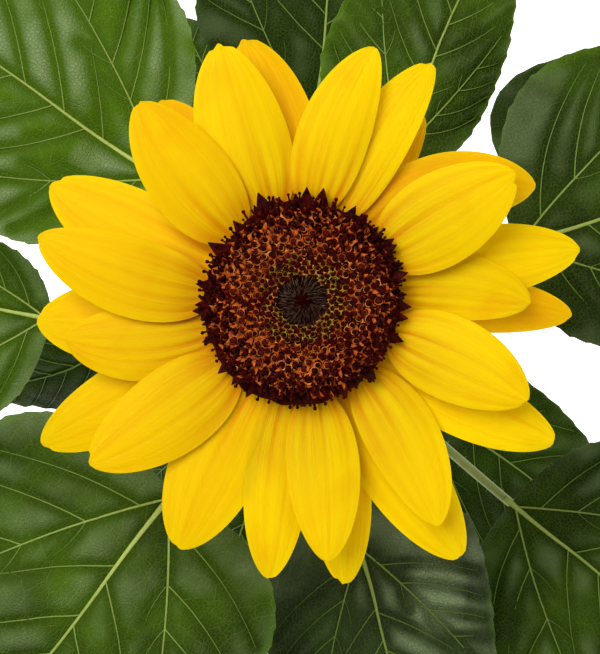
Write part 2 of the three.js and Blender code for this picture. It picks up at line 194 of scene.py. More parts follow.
class LeafSizes(bpy.types.PropertyGroup):
    """What all leaves share."""

    thickness: length("Thickness", "Thickness of the blade", 0.6)
    fold: share("Fold", "The blade's rise from the midrib, per width", 0.1)
    droop: share("Droop", "The fall of the blade's edges, per width", 0.22)
    petiole_radius: length("Petiole Radius", "Radius of the leaf's stalk", 2)
    midrib_radius: length("Midrib Radius", "Radius of the midrib at the blade's base", 0.72)
    groove: length("Groove", "How deep the midrib lies in the blade", 1.3)
    bulge: length("Bulge", "How far the blade swells up between its veins", 1.2)
    tooth: length("Tooth", "How far the teeth of the margin stand out", 0.75)
    tooth_spacing: length("Tooth Spacing", "Distance from tooth to tooth", 5.5)
    wave: length("Wave", "How far the margin waves up and down", 1.3)


class PetalSizes(bpy.types.PropertyGroup):
    """What all petals share."""

    thickness: length("Thickness", "Thickness of a petal", 0.42)
    camber: share("Camber", "How far the edges fall, as a share of the half width", 0.1)
    drop: share("Drop", "How far the tip falls, as a share of the length", 0.1)
    pleat: length("Pleat", "Depth of the soft grooves along a petal", 0.34)


class DiscSizes(bpy.types.PropertyGroup):
    """The disc and its florets."""

    radius: length("Radius", "Radius of the disc without its leaning florets", 26.5)
    shift_x: length("Shift X", "The florets' middle, right of the disc's", 0.1, least=-5)
    shift_y: length("Shift Y", "The florets' middle, behind the disc's", 0.6, least=-5)
    young_spacing: length("Young Spacing", "Distance between florets at the centre", 0.85)
    ripe_spacing: length("Ripe Spacing", "Distance between florets at the rim", 3.15)
    eye_zone: share("Eye Zone", "Where the black eye ends, as a share of the radius", 0.09)
    young_zone: share("Young Zone", "Where the bristly centre ends, as a share of the radius", 0.26)
    bud_zone: share("Bud Zone", "Where the maroon buds begin, as a share of the radius", 0.46)
    open_zone: share("Open Zone", "Where the open florets begin, as a share of the radius", 0.77)


class PlantColours(bpy.types.PropertyGroup):
    """The colours of the plant."""

    petal: colour("Petal", "Yellow of the petals", 237, 191, 0)
    petal_deep: colour("Petal Deep", "Deeper yellow of some petals", 233, 182, 0)
    petal_shaded: colour("Petal Shaded", "Orange yellow of the petals that lie behind", 224, 164, 0)
    # Also used as painted shade in the petals' pleats.
    petal_streak_and_shade: colour("Petal Streak", "Darker streaks along the petals", 212, 130, 0)
    # Partly the petals' own orange and partly painted shade next to the disc and between overlapping petals.
    petal_base_and_shade: colour("Petal Base", "Orange at the petals' bases", 208, 108, 0)
    leaf_deep: colour("Leaf Deep", "Green of the shaded leaves", 22, 38, 2)
    leaf_fresh: colour("Leaf Fresh", "Green of the fresh leaves", 72, 108, 0)
    leaf_vein: colour("Leaf Vein", "Pale green of the veins", 172, 186, 90)
    # Painted sheen: this greyish green stands in for the light reflected from the swells of a blade.
    leaf_painted_sheen: colour("Leaf Sheen", "Greyish green where a blade swells up", 142, 162, 114)
    leaf_under: colour("Leaf Underside", "Pale green of the leaves' undersides", 112, 138, 86)
    petiole: colour("Petiole", "Green of the leaf stalks", 184, 190, 118)
    petiole_shade: colour("Petiole Shade", "Darker green along the leaf stalks", 132, 146, 76)
    stem: colour("Stem", "Green of the stem", 118, 146, 70)
    stem_shade: colour("Stem Shade", "Darker green in the stem's furrows", 82, 108, 46)
    hair: colour("Hair", "Whitish bristles", 206, 214, 180)
    bract: colour("Bract", "Green of the bracts", 84, 120, 48)
    floret_dark: colour("Floret Dark", "Nearly black purple of the ripe florets", 24, 5, 6)
    floret_red: colour("Floret Red", "Maroon of the buds", 96, 13, 4)
    floret_orange: colour("Floret Orange", "Orange brown between the buds", 206, 98, 18)
    floret_lip: colour("Floret Lip", "Pale orange lips of the buds", 230, 142, 60)
    young_tip: colour("Young Tip", "Yellow-green tips round the centre", 150, 138, 30)
    young_grey: colour("Young Grey", "Grey brown of the bristly centre", 96, 78, 54)


class StageSettings(bpy.types.PropertyGroup):
    """The camera, lights and floor."""

    camera_height: length("Camera Height", "From the head up to the camera", 600)
    camera_side: length("Camera Side", "The camera's place right of the head's axis", -0.55, least=-100)
    camera_back: length("Camera Back", "The camera's place behind the head's axis", -6.6, least=-100)
    lens: amount("Lens", "Focal length", 120.1, 1, "CAMERA")
    key_power: amount("Key", "Main light", 62, unit="POWER")
    fill_power: amount("Fill", "Side light", 12, unit="POWER")
    sky: amount("Sky", "Light from all round", 0.26)
    glow: amount("Floor Glow", "How far the floor lights itself", 0.8)


def settings(scene, name):
    """One group of the sidebar's values, with lengths in millimetres and colours as three numbers."""
    group = getattr(scene, GROUP_PREFIX + name)
    read = {}
    for key in group.__annotations__:
        kind = group.bl_rna.properties[key]
        value = getattr(group, key)
        if getattr(kind, "unit", "") == "LENGTH":
            value = value / MM
        read[key] = tuple(value) if getattr(kind, "is_array", False) else value
    return SimpleNamespace(**read)


def smooth(low, high, value):
    """0 below low, 1 above high, and a soft step between."""
    x = np.clip((value - low) / (high - low), 0, 1)
    return x * x * (3 - 2 * x)


def bell(value, width):
    """1 where value is 0, and next to nothing two widths away."""
    return np.exp(-((value / width) ** 2))


def level(turn):
    """Level unit vectors at turns in radians."""
    return np.stack([np.cos(turn), np.sin(turn), 0 * turn], -1)


def direction(degrees):
    return level(np.radians(degrees))


def turns(count):
    """The turns of evenly spaced points round a ring, in radians."""
    return np.arange(count) * 2 * math.pi / count


def tilted(out, angle):
    """Vectors that lean from straight up towards out by an angle in radians."""
    return UP * np.cos(angle)[:, None] + out * np.sin(angle)[:, None]


def unit(vectors):
    return vectors / np.maximum(np.linalg.norm(vectors, axis=-1, keepdims=True), 1e-12)


def grid(rows, columns):
    """The given shares down the rows of a grid, and shares from -1 to 1 across them."""
    return np.meshgrid(rows, np.linspace(-1, 1, columns), indexing="ij")


def ripples(x, y, size, seed):
    """Smooth uneven ground, mostly within -1 and 1, with its swells about size apart."""
    rng = np.random.default_rng(seed)
    waves = 9
    total = 0.0
    for _ in range(waves):
        turn, phase = rng.uniform(0, 2 * math.pi, 2)
        pace = 2 * math.pi / size * rng.uniform(0.6, 1.5)
        total = total + np.sin((x * math.cos(turn) + y * math.sin(turn)) * pace + phase)
    return total / math.sqrt(waves)


def outline(s, rise, fall, base, tip, least):
    """A share of the half width along a blade, 1 at its widest, with both pointed ends cut short."""

    def spread(q):
        return q**rise * (1 - q) ** fall

    return np.maximum(spread(base + (tip - base) * s) / spread(rise / (rise + fall)), least)


def distance_to(line, x, y):
    """The distance of each point (x, y) from a line of points."""
    least = np.full(x.shape, FAR)
    for (ax, ay), (bx, by) in zip(line[:-1], line[1:]):
        dx, dy = bx - ax, by - ay
        along = np.clip(((x - ax) * dx + (y - ay) * dy) / max(dx * dx + dy * dy, 1e-9), 0, 1)
        least = np.minimum(least, np.hypot(x - ax - along * dx, y - ay - along * dy))
    return least


def run_along(line):
    """How far along a line each of its points lies."""
    return np.r_[0, np.cumsum(np.linalg.norm(np.diff(line, axis=0), axis=1))]


def at_share(line, where):
    """The point or points at a share or shares of a line's length."""
    run = run_along(line)
    return np.stack([np.interp(where * run[-1], run, column) for column in line.T], -1)


class Shape:
    """Points and faces gathered for one mesh. A face has a finish, a point can carry two sets of numbers."""

    def __init__(self):
        self.points, self.faces, self.finishes, self.places, self.tones = [], [], [], [], []
        self.count = 0

    def add(self, points, faces, finish=0, place=(0, 0, 0), tone=(0, 0, 0)):
        points = np.asarray(points, float).reshape(-1, 3)
        faces = np.asarray(faces)
        self.points.append(points)
        self.faces.append(np.where(faces < 0, -1, faces + self.count))
        self.finishes.append(np.broadcast_to(finish, len(faces)))
        self.places.append(np.broadcast_to(place, points.shape))
        self.tones.append(np.broadcast_to(tone, points.shape))
        self.count += len(points)

    def mesh(self, name, crease):
        """The gathered faces as a mesh in metres. A face of three corners has -1 for its fourth."""
        faces = np.concatenate(self.faces)
        sides = np.where(faces[:, 3] < 0, 3, 4)
        made = bpy.data.meshes.new(name)
        made.vertices.add(self.count)
        made.vertices.foreach_set("co", (np.concatenate(self.points) * MM).astype(np.float32).ravel())
        made.loops.add(int(sides.sum()))
        made.loops.foreach_set("vertex_index", faces[faces >= 0].astype(np.int32))
        made.polygons.add(len(faces))
        made.polygons.foreach_set("loop_start", np.r_[0, np.cumsum(sides)[:-1]].astype(np.int32))
        made.polygons.foreach_set("material_index", np.concatenate(self.finishes).astype(np.int32))
        for key, values in (("place", self.places), ("tone", self.tones)):
            numbers = made.attributes.new(key, "FLOAT_VECTOR", "POINT")
            numbers.data.foreach_set("vector", np.concatenate(values).astype(np.float32).ravel())
        made.update(calc_edges=True)
        made.shade_smooth()
        made.set_sharp_from_angle(angle=math.radians(crease))
        return made


def shown(name, data):
    """A new object in the scene."""
    made = bpy.data.objects.new(name, data)
    bpy.context.scene.collection.objects.link(made)
    return made


def add_piece(name, shape, finishes, nodes, crease=50):
    """Shows a shape as one piece that stands for CAD nodes and rides on the plant's only body."""
    mesh = shape.mesh(name, crease)
    for finish in finishes:
        mesh.materials.append(finish)
    piece = shown(name, mesh)
    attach(piece, "root")
    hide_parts(*nodes)


def grid_faces(rows, columns, around=False):
    """Four-sided faces between rows of points, each row closed on itself where around is set."""
    i, j = np.meshgrid(np.arange(rows - 1), np.arange(columns if around else columns - 1), indexing="ij")
    a = (i * columns + j).ravel()
    b = (i * columns + (j + 1) % columns).ravel()
    return np.stack([a, b, b + columns, a + columns], 1)


def tube_faces(rings, sides):
    """A tube's sides and the fans over its ends, whose middle points come last."""
    j = np.arange(sides)
    following = (j + 1) % sides
    first = rings * sides
    last = (rings - 1) * sides
    none = np.full(sides, -1)
    start = np.stack([np.full(sides, first), following, j, none], 1)
    end = np.stack([np.full(sides, first + 1), last + j, last + following, none], 1)
    return np.concatenate([grid_faces(rings, sides, around=True), start, end])


def with_ends(values):
    """A tube's values and those of its two end points, which come last."""
    return np.concatenate([values, values[[0, -1]]])


def tube(path, radius, sides, aside, groove=None):
    """A tube along a path. aside lies across the path, and groove scales the radius by turn."""
    path = np.asarray(path, float)
    along = unit(np.gradient(path, axis=0))
    aside = np.broadcast_to(aside, path.shape)
    across = unit(aside - (aside * along).sum(1, keepdims=True) * along)
    over = np.cross(along, across)
    turn = turns(sides)
    radius = np.broadcast_to(np.asarray(radius, float), len(path))[:, None, None]
    if groove is not None:
        radius = radius * groove(turn)[None, :, None]
    rings = np.cos(turn)[None, :, None] * across[:, None] + np.sin(turn)[None, :, None] * over[:, None]
    points = (path[:, None] + rings * radius).reshape(-1, 3)
    return np.concatenate([points, path[[0, -1]]]), tube_faces(len(path), sides)


def sheet(top, bottom):
    """A closed thin sheet between two grids of points, and for each face whether it is on the underside."""
    rows, columns = top.shape[:2]
    count = rows * columns
    upper = grid_faces(rows, columns)[:, [0, 3, 2, 1]]
    lower = upper[:, ::-1] + count
    edge = np.concatenate([
        np.arange(columns - 1),
        np.arange(rows - 1) * columns + columns - 1,
        (rows - 1) * columns + np.arange(columns - 1, 0, -1),
        np.arange(rows - 1, 0, -1) * columns,
    ])
    onward = np.roll(edge, -1)
    rim = np.stack([edge, onward, onward + count, edge + count], 1)
    faces = np.concatenate([upper, lower, rim])
    under = np.r_[np.zeros(len(upper), int), np.ones(len(lower), int), np.zeros(len(rim), int)]
    return np.concatenate([top.reshape(-1, 3), bottom.reshape(-1, 3)]), faces, under


def both_faces(*numbers):
    """Three grids of numbers as one row for each point, the same on both faces of a sheet."""
    return np.tile(np.stack(np.broadcast_arrays(*numbers), -1).reshape(-1, 3), (2, 1))


def lathe(profile, sides, ribs=None):
    """A closed round body from pairs of radius and height, its first and last radius near 0."""
    profile = np.asarray(profile, float)
    turn = turns(sides)
    radius = profile[:, :1] * (1 if ribs is None else ribs(turn)[None])
    points = level(turn) * radius[..., None] + UP * profile[:, 1, None, None]
    ends = UP * profile[[0, -1], 1, None]
    return np.concatenate([points.reshape(-1, 3), ends]), tube_faces(len(profile), sides)


def dealt(shape, template, spots, outward, axes, scale, pick=slice(None)):
    """Adds a template at the picked ones of many spots, with its x outward and its z along the axis."""
    points, faces, finishes = template
    outward = np.broadcast_to(outward, axes.shape)[pick]
    spots, axes, scale = spots[pick], unit(axes[pick]), scale[pick]
    outward = unit(outward - (outward * axes).sum(1, keepdims=True) * axes)
    base = np.stack([outward, np.cross(axes, outward), axes], 1)
    placed = spots[:, None] + np.einsum("pk,nkc->npc", points, base) * scale[:, None, None]
    starts = np.arange(len(spots))[:, None, None] * len(points)
    spread = np.where(faces[None] < 0, -1, faces[None] + starts)
    kind = np.broadcast_to(finishes, (len(spots), len(faces)))
    shape.add(placed.reshape(-1, 3), spread.reshape(-1, 4), kind.ravel())


def deal_forms(shape, rng, forms, spots, facing, axes, scale):
    """Deals a few templates out at random over many spots."""
    kind = rng.integers(0, len(forms), len(spots))
    for k, form in enumerate(forms):
        dealt(shape, form, spots, facing, axes, scale, kind == k)


def joined(*parts):
    """Several (points, faces, finish) as one template."""
    points, faces, finishes, count = [], [], [], 0
    for part_points, part_faces, finish in parts:
        points.append(part_points)
        faces.append(np.where(part_faces < 0, -1, part_faces + count))
        finishes.append(np.broadcast_to(finish, len(part_faces)))
        count += len(part_points)
    return np.concatenate(points), np.concatenate(faces), np.concatenate(finishes)


HAIR = (
    np.array([[1, 0, 0], [-0.5, 0.87, 0], [-0.5, -0.87, 0], [0, 0, 30]]) / 30,
    np.array([[0, 2, 1, -1], [0, 1, 3, -1], [1, 2, 3, -1], [2, 0, 3, -1]]),
    0,
)


class Finish:
    """The nodes of one material. Each short call adds a node and gives its output."""

    def __init__(self, name, **sockets):
        self.material = bpy.data.materials.new(name)
        self.material.use_nodes = True
        self.tree = self.material.node_tree
        self.shader = self.tree.nodes["Principled BSDF"]
        for key, value in sockets.items():
            self.shader.inputs[key.replace("_", " ")].default_value = value

    def node(self, kind, inputs=(), **settings):
        made = self.tree.nodes.new("ShaderNode" + kind)
        for key, value in settings.items():
            setattr(made, key, value)
        for key, value in dict(inputs).items():
            if isinstance(value, bpy.types.NodeSocket):
                self.tree.links.new(value, made.inputs[key])
            else:
                made.inputs[key].default_value = value
        return made

    def place(self):
        """Where a point lies on its own leaf, petal or stalk, in millimetres."""
        return self.node("Attribute", attribute_type="GEOMETRY", attribute_name="place").outputs["Vector"]

    def tone(self):
        """The numbers that a point carries, as three outputs."""
        read = self.node("Attribute", attribute_type="GEOMETRY", attribute_name="tone").outputs["Vector"]
        return self.node("SeparateXYZ", {0: read}).outputs

    def spot(self):
        """Where a point lies on the whole piece, in metres."""
        return self.node("TexCoord").outputs["Object"]

    def stretched(self, vector, *by):
        return self.node("VectorMath", {0: vector, 1: by}, operation="MULTIPLY").outputs[0]

    def noise(self, vector, scale, detail=2.0, roughness=0.5):
        inputs = {"Vector": vector, "Scale": scale, "Detail": detail, "Roughness": roughness}
        return self.node("TexNoise", inputs).outputs[0]

    def net(self, vector, scale, width):
        """1 on a net of fine lines, 0 between them."""
        cells = self.node(
            "TexVoronoi",
            {"Vector": vector, "Scale": scale, "Randomness": 0.9},
            feature="DISTANCE_TO_EDGE",
            voronoi_dimensions="2D",
        )
        return self.ranged(cells.outputs["Distance"], 0, width, 1, 0)

    def warped(self, vector, scale, amount):
        """The place, pushed about by noise."""
        push = self.node("TexNoise", {"Vector": vector, "Scale": scale, "Detail": 2.0}).outputs["Color"]
        centred = self.node("VectorMath", {0: push, 1: (0.5, 0.5, 0.5)}, operation="SUBTRACT").outputs[0]
        scaled = self.stretched(centred, amount, amount, 0)
        return self.node("VectorMath", {0: vector, 1: scaled}, operation="ADD").outputs[0]

    def ranged(self, value, low, high, to_low=0.0, to_high=1.0):
        inputs = {"Value": value, "From Min": low, "From Max": high, "To Min": to_low, "To Max": to_high}
        return self.node("MapRange", inputs).outputs[0]

    def sum(self, first, second, part=1.0):
        """first plus a part of second."""
        return self.node("Math", {0: second, 1: part, 2: first}, operation="MULTIPLY_ADD").outputs[0]

    def product(self, first, second):
        return self.node("Math", {0: first, 1: second}, operation="MULTIPLY").outputs[0]

    def blend(self, factor, first, second):
        """From the first colour to the second as factor goes from 0 to 1."""
        inputs = {}
        for key, value in ((0, factor), (6, first), (7, second)):
            inputs[key] = (*value, 1.0) if isinstance(value, (tuple, list)) and len(value) == 3 else value
        return self.node("Mix", inputs, data_type="RGBA", clamp_factor=True).outputs[2]

    def colour(self, value):
        self.tree.links.new(value, self.shader.inputs["Base Color"])

    def rough(self, value):
        self.tree.links.new(value, self.shader.inputs["Roughness"])

    def relief(self, height, depth, strength):
        """Small unevenness, depth millimetres where height goes from 0 to 1."""
        bump = self.node("Bump", {"Height": height, "Distance": depth * MM, "Strength": strength})
        self.tree.links.new(bump.outputs[0], self.shader.inputs["Normal"])


def leaf_finish(colours, name, shine, dullness):
    """The upper side of a leaf: deep green, finely grained, faint veinlets, painted sheen on swells, painted
    shade by veins.
    """
    f = Finish(name, Specular_IOR_Level=shine)
    place = f.place()
    near_vein, tint, gloss = f.tone()
    bent = f.warped(place, 0.1, 3.0)
    veinlets = f.net(bent, 0.2, 0.045)
    cells = f.net(bent, 0.8, 0.16)
    grain = f.noise(place, 1.1, 4.0, 0.7)
    patches = f.ranged(f.noise(place, 0.035, 3.0), 0.3, 0.7, -0.35, 0.35)
    green = f.blend(f.sum(tint, patches), colours.leaf_deep, colours.leaf_fresh)
    grained = f.blend(f.ranged(grain, 0.4, 0.7, 0, 0.3), green, colours.leaf_fresh)
    meshed = f.blend(f.product(cells, 0.12), grained, colours.leaf_vein)
    # Painted sheen: a greyish green on the swells between the veins stands in for the reflection of the
    # light; where gloss is over 1 a broad painted highlight is added.
    painted_lit_patch = f.ranged(gloss, 0.96, 1.4)
    painted_sheen_patches = f.ranged(f.sum(f.noise(place, 0.045, 2.0), painted_lit_patch, 0.3), 0.4, 0.62)
    swell = f.product(painted_sheen_patches, f.sum(f.ranged(near_vein, 0, 0.7, 1, 0), painted_lit_patch, 0.6))
    painted_sheen_mask = f.product(swell, f.ranged(cells, 0, 1, 1, 0.72))
    painted_sheen = f.blend(f.product(painted_sheen_mask, f.ranged(gloss, 0.2, 1, 0.18, 0.9)), meshed, colours.leaf_painted_sheen)
    netted = f.blend(f.product(veinlets, f.ranged(tint, 0, 0.6, 0.04, 0.15)), painted_sheen, colours.leaf_vein)
    # Painted shade: the green darkens in the grooves along the veins.
    f.colour(f.blend(f.product(near_vein, 0.3), netted, colours.leaf_deep))
    f.rough(f.sum(f.ranged(f.noise(place, 0.4), 0.3, 0.7, dullness - 0.06, dullness + 0.06), gloss, -0.1))
    f.relief(f.sum(f.sum(f.product(veinlets, -0.35), cells, -0.42), grain, 0.8), 0.62, 0.8)
    return f.material


def vein_finish(colours):
    """The veins: pale yellow-green, greener where they are fine, with a streak along them."""
    f = Finish("leaf veins", Specular_IOR_Level=0.4)
    place = f.place()
    strength, tint, _ = f.tone()
    shaded = f.blend(f.ranged(tint, 0, 0.6, 0.4, 0.0), colours.leaf_vein, colours.leaf_fresh)
    pale = f.blend(strength, colours.leaf_fresh, shaded)
    f.colour(f.blend(f.ranged(f.noise(place, 0.8, 3.0), 0.4, 0.75, 0, 0.25), pale, colours.leaf_fresh))
    f.rough(f.ranged(f.noise(place, 2.0), 0.3, 0.7, 0.45, 0.6))
    f.relief(f.noise(place, 1.8, 3.0), 0.2, 0.6)
    return f.material


def leaf_under_finish(colours):
    """The underside of a leaf: pale and dull, with a close net."""
    f = Finish("leaf underside", Sheen_Weight=0.2, Sheen_Roughness=0.6, Specular_IOR_Level=0.25)
    place = f.place()
    bent = f.warped(place, 0.1, 3.0)
    net = f.sum(f.net(bent, 0.23, 0.07), f.net(bent, 0.8, 0.16), 0.6)
    mottled = f.blend(f.noise(place, 0.12, 4.0), colours.leaf_under, colours.leaf_fresh)
    f.colour(f.blend(f.product(net, 0.45), mottled, colours.leaf_vein))
    f.rough(f.ranged(f.noise(place, 0.9), 0.3, 0.7, 0.6, 0.75))
    f.relief(f.sum(net, f.noise(place, 2.5, 3.0), 0.4), 0.4, 0.9)
    return f.material


def stalk_finish(name, light, dark, streak):
    """A stem or stalk: streaks along it, small bumps and a darker tone in patches."""
    f = Finish(name, Sheen_Weight=0.15, Sheen_Roughness=0.5, Specular_IOR_Level=0.35)
    place = f.place()
    streaks = f.noise(f.stretched(place, streak, 1, streak), 0.9, 4.0, 0.6)
    patches = f.noise(place, 0.06, 3.0)
    toned = f.blend(f.ranged(patches, 0.3, 0.7), light, dark)
    f.colour(f.blend(f.ranged(streaks, 0.35, 0.65, 0, 0.6), toned, dark))
    f.rough(f.ranged(streaks, 0.3, 0.7, 0.5, 0.68))
    f.relief(f.sum(streaks, f.noise(place, 1.4, 2.0), 0.6), 0.3, 0.7)
    return f.material


def petal_finish(colours, name, yellow):
    """A petal: bright yellow, soft streaks that gather at base and tip, painted shade in the pleats, an
    orange base.
    """
    depth = {"Subsurface_Weight": 0.35, "Subsurface_Radius": (1.0, 0.6, 0.05), "Subsurface_Scale": 0.004}
    f = Finish(name, Specular_IOR_Level=0.04, **depth)
    place = f.place()
    base, groove, ends = f.tone()
    broad = f.noise(f.stretched(place, 0.012, 0.32, 1), 1.0, 3.0, 0.55)
    narrow = f.noise(f.stretched(place, 0.02, 1.7, 1), 1.0, 3.0, 0.6)
    bruises = f.ranged(f.noise(place, 0.05, 2.0), 0.55, 0.78, 0, 0.4)
    streaks = f.ranged(f.sum(broad, narrow, 0.5), 0.66, 0.98)
    streaked = f.blend(f.product(streaks, f.ranged(ends, 0, 1, 0.22, 0.95)), yellow, colours.petal_streak_and_shade)
    bruised = f.blend(bruises, streaked, colours.petal_streak_and_shade)
    # Painted shade: the pleats are darkened towards the streak colour, most of all near the base.
    painted_groove_shade = f.blend(f.product(groove, f.ranged(ends, 0, 1, 0.45, 1)), bruised, colours.petal_streak_and_shade)
    # The orange base: partly the petal's own colour, partly painted shade next to the disc, more towards the
    # edges where petals overlap.
    f.colour(f.blend(f.product(base, f.ranged(narrow, 0.3, 0.7, 0.65, 1)), painted_groove_shade, colours.petal_base_and_shade))
    f.rough(f.ranged(narrow, 0.3, 0.7, 0.5, 0.62))
    f.relief(f.sum(narrow, f.noise(place, 1.6, 2.0), 0.15), 0.16, 0.7)
    return f.material


def floret_finish(name, main, other, most=0.5, rough=0.45, scale=900.0, shine=0.4):
    """A bristle or part of a floret: one colour with specks of another, at most that share, finely uneven."""
    f = Finish(name, Specular_IOR_Level=shine)
    spot = f.spot()
    specks = f.noise(spot, scale, 3.0, 0.6)
    mottled = f.blend(f.ranged(f.noise(spot, scale / 5, 1.0), 0.45, 0.7, 0, 0.45), main, other)
    f.colour(f.blend(f.ranged(specks, 0.4, 0.75, 0, most), mottled, other))
    f.rough(f.ranged(f.noise(spot, scale * 0.6), 0.3, 0.7, rough - 0.08, rough + 0.12))
    f.relief(specks, 0.12, 0.8)
    return f.material


def bristle_finish(colours, name, other):
    return floret_finish(name, colours.hair, other, 0.4, 0.5)


def floor_finish(glow):
    """The floor: plain white with the faintest unevenness, bright by itself."""
    bright = {"Emission_Color": (1, 1, 1, 1), "Emission_Strength": glow}
    f = Finish("white floor", Specular_IOR_Level=0.1, Roughness=0.8, **bright)
    f.colour(f.blend(f.noise(f.spot(), 3.0), (0.95, 0.95, 0.95), (0.98, 0.98, 0.98)))
    return f.material


def stem_centre(stem, height):
    """The stem's middle at a height: a lean that starts and ends upright, with a bow between."""
    height = np.asarray(height, float)
    lean = smooth(0, RIM_HEIGHT, height)
    bow = np.sin(math.pi * np.clip(height / RIM_HEIGHT, 0, 1)) ** 2
    return np.stack([HEAD_X * lean + stem.sway_x * bow, HEAD_Y * lean + stem.sway_y * bow, height], -1)


def stem_radius(stem, height):
    flare = np.exp(-2 * height / stem.flare_height) * (stem.foot_radius - stem.lower_radius)
    return stem.lower_radius + (stem.neck_radius - stem.lower_radius) * height / RIM_HEIGHT + flare


UPPER, UNDER, VEIN, GLOSSY = range(4)  # the finishes of a blade, in their order on its mesh
PLACE_STEP = 200  # how far apart two leaves lie in their finish, so that no two show the same patch of it
MIDRIB_SHARE = 0.975  # how far along the blade the midrib ends
MIDRIB_LEAD = 2.5  # how far before the blade's base the midrib starts
FADE = 0.04  # the share of the blade over which its relief grows from nothing at the base
ARCH_POINTS = 40  # the points of a petiole's path from the stem to the blade's base


class LeafForm:
    """One leaf: the joint of its petiole, the base of its blade, and the surface of the blade."""

    shape = {"rise": 0.42, "fall": 0.95, "base": 0.0012, "tip": 0.996, "least": 0.012}

    def __init__(self, row, stem, leaf):
        for key, value in zip(LEAF_COLUMNS, row):
            setattr(self, key, value)
        self.sizes = leaf
        middle = RIM_CENTRE * [1, 1, 0] + UP * (self.joint + self.lift)
        self.base = middle + direction(self.angle) * self.reach
        centre = stem_centre(stem, self.joint)
        self.outward = unit((self.base - centre) * [1, 1, 0])
        self.start = centre + self.outward * (stem_radius(stem, self.joint) + CLEARANCE)
        self.along = direction(self.heading)
        self.side = np.cross(UP, self.along)
        self.pitch, end = math.radians(self.rise), math.radians(self.fall)
        self.bend = (end - self.pitch) / self.length
        self.closing = 15 if self.lobe > 0.2 else 0  # how far deep lobes lean in over the stalk

    def half(self, side):
        return np.where(side < 0, self.right, self.left)

    def spot(self, s, t):
        """The millimetres along and across the midrib of a point at shares s along and t across."""
        width = outline(s, **self.shape)
        return self.length * (s - self.lobe * np.abs(t) * width * (1 - s) ** 2), t * self.half(t) * width

    def shares(self, x, y):
        """The shares along and across of a point of the blade."""
        q = self.lobe * np.abs(y) / self.half(y)
        q = np.where(np.abs(q) < 1e-6, 1e-6, q)
        inside = np.maximum((2 * q + 1) ** 2 - 4 * q * (q + x / self.length), 0)
        s = np.clip((2 * q + 1 - np.sqrt(inside)) / (2 * q), 0, 1)
        return s, y / (self.half(y) * outline(s, **self.shape))

    def place(self, x, y, height):
        """The point in the plant's frame, height over the blade's middle surface."""
        lean = self.closing * (1 - np.exp(-np.maximum(-x, 0) / 8))
        y = np.sign(y) * np.maximum(np.abs(y) - lean, 0.1 * np.abs(y))
        pitch = self.pitch + self.bend * x
        out = (np.sin(pitch) - math.sin(self.pitch)) / self.bend
        up = (math.cos(self.pitch) - np.cos(pitch)) / self.bend
        lift = self.sizes.fold * np.abs(y) - self.sizes.droop * y * y / self.half(y) + height
        roll = math.radians(self.roll)
        aside = (y * math.cos(roll) - lift * math.sin(roll))[..., None]
        above = (y * math.sin(roll) + lift * math.cos(roll))[..., None]
        normal = UP * np.cos(pitch)[..., None] - self.along * np.sin(pitch)[..., None]
        middle = self.base + self.along * out[..., None] + UP * up[..., None]
        return middle + self.side * aside + normal * above


def sprout(start, heading, turning, reach):
    """A vein in the blade's plane that leaves start at a heading and turns evenly, both in degrees."""
    steps = 14
    turn = np.radians(heading + turning * (np.arange(steps) + 0.5) / steps)
    return np.concatenate([[start], start + np.cumsum(level(turn)[:, :2] * reach / steps, 0)])


def within(form, line):
    """The part of a vein from its start to the blade's margin, or None where that is too short."""
    side_limit, end_limit = 0.93, 0.985
    fine = at_share(line, np.linspace(0, 1, 60))
    s, t = form.shares(*fine.T)
    out = (np.abs(t) > side_limit) | (s > end_limit) | (fine[:, 0] > form.length * end_limit)
    out[:4] = False
    kept = fine[: int(np.argmax(out))] if out.any() else fine
    return at_share(kept, np.linspace(0, 1, 15)) if len(kept) > 5 else None


def lateral_vein(form, rng, side, half):
    """The strong vein that leaves the blade's base on one side of the midrib."""
    slope = rng.uniform(37, 42) * min(1, (half / 45) ** 0.5)
    line = sprout((form.length * 0.015, 0), side * slope, -side * rng.uniform(18, 26), form.length * 0.8)
    return within(form, line)


def lateral_branches(form, rng, lateral, side, half):
    """The veins that leave a lateral, those towards the midrib and those towards the margin."""
    inner, outer = [], []
    for part, forked in ((0.12, False), (0.3, True), (0.5, True), (0.7, False)):
        part += rng.uniform(-0.03, 0.03)
        start, ahead = at_share(lateral, part), at_share(lateral, part + 0.03)
        heading = math.degrees(math.atan2(*(ahead - start)[::-1]))
        branch = sprout(start, heading + side * rng.uniform(40, 50), -side * rng.uniform(26, 44), half)
        outer.append(within(form, branch))
        if forked:
            inner.append(sprout(start, heading - side * 40, side * 24, half * 0.24))
    return inner, [line for line in outer if line is not None]


def side_ribs(form, rng, midrib, lateral, side, half):
    """The veins that leave the midrib on one side, each ending where it meets the one before it."""
    ribs = [] if lateral is None else [lateral]
    for k in range(6):
        part = 0.22 + 0.122 * k + (0.035 if side > 0 else 0) + rng.uniform(-0.012, 0.012)
        start = at_share(midrib, part / MIDRIB_SHARE)
        rib = within(form, sprout(start, side * (55 - 3 * k), -side * rng.uniform(28, 42), half * 1.5))
        if rib is None:
            continue
        if ribs:
            near = (distance_to(ribs[-1], *rib.T) < 2.2) & (np.arange(len(rib)) > 5)
            if near.any():
                rib = rib[: int(np.argmax(near))]
        ribs.append(rib)
    return ribs if lateral is None else ribs[1:]


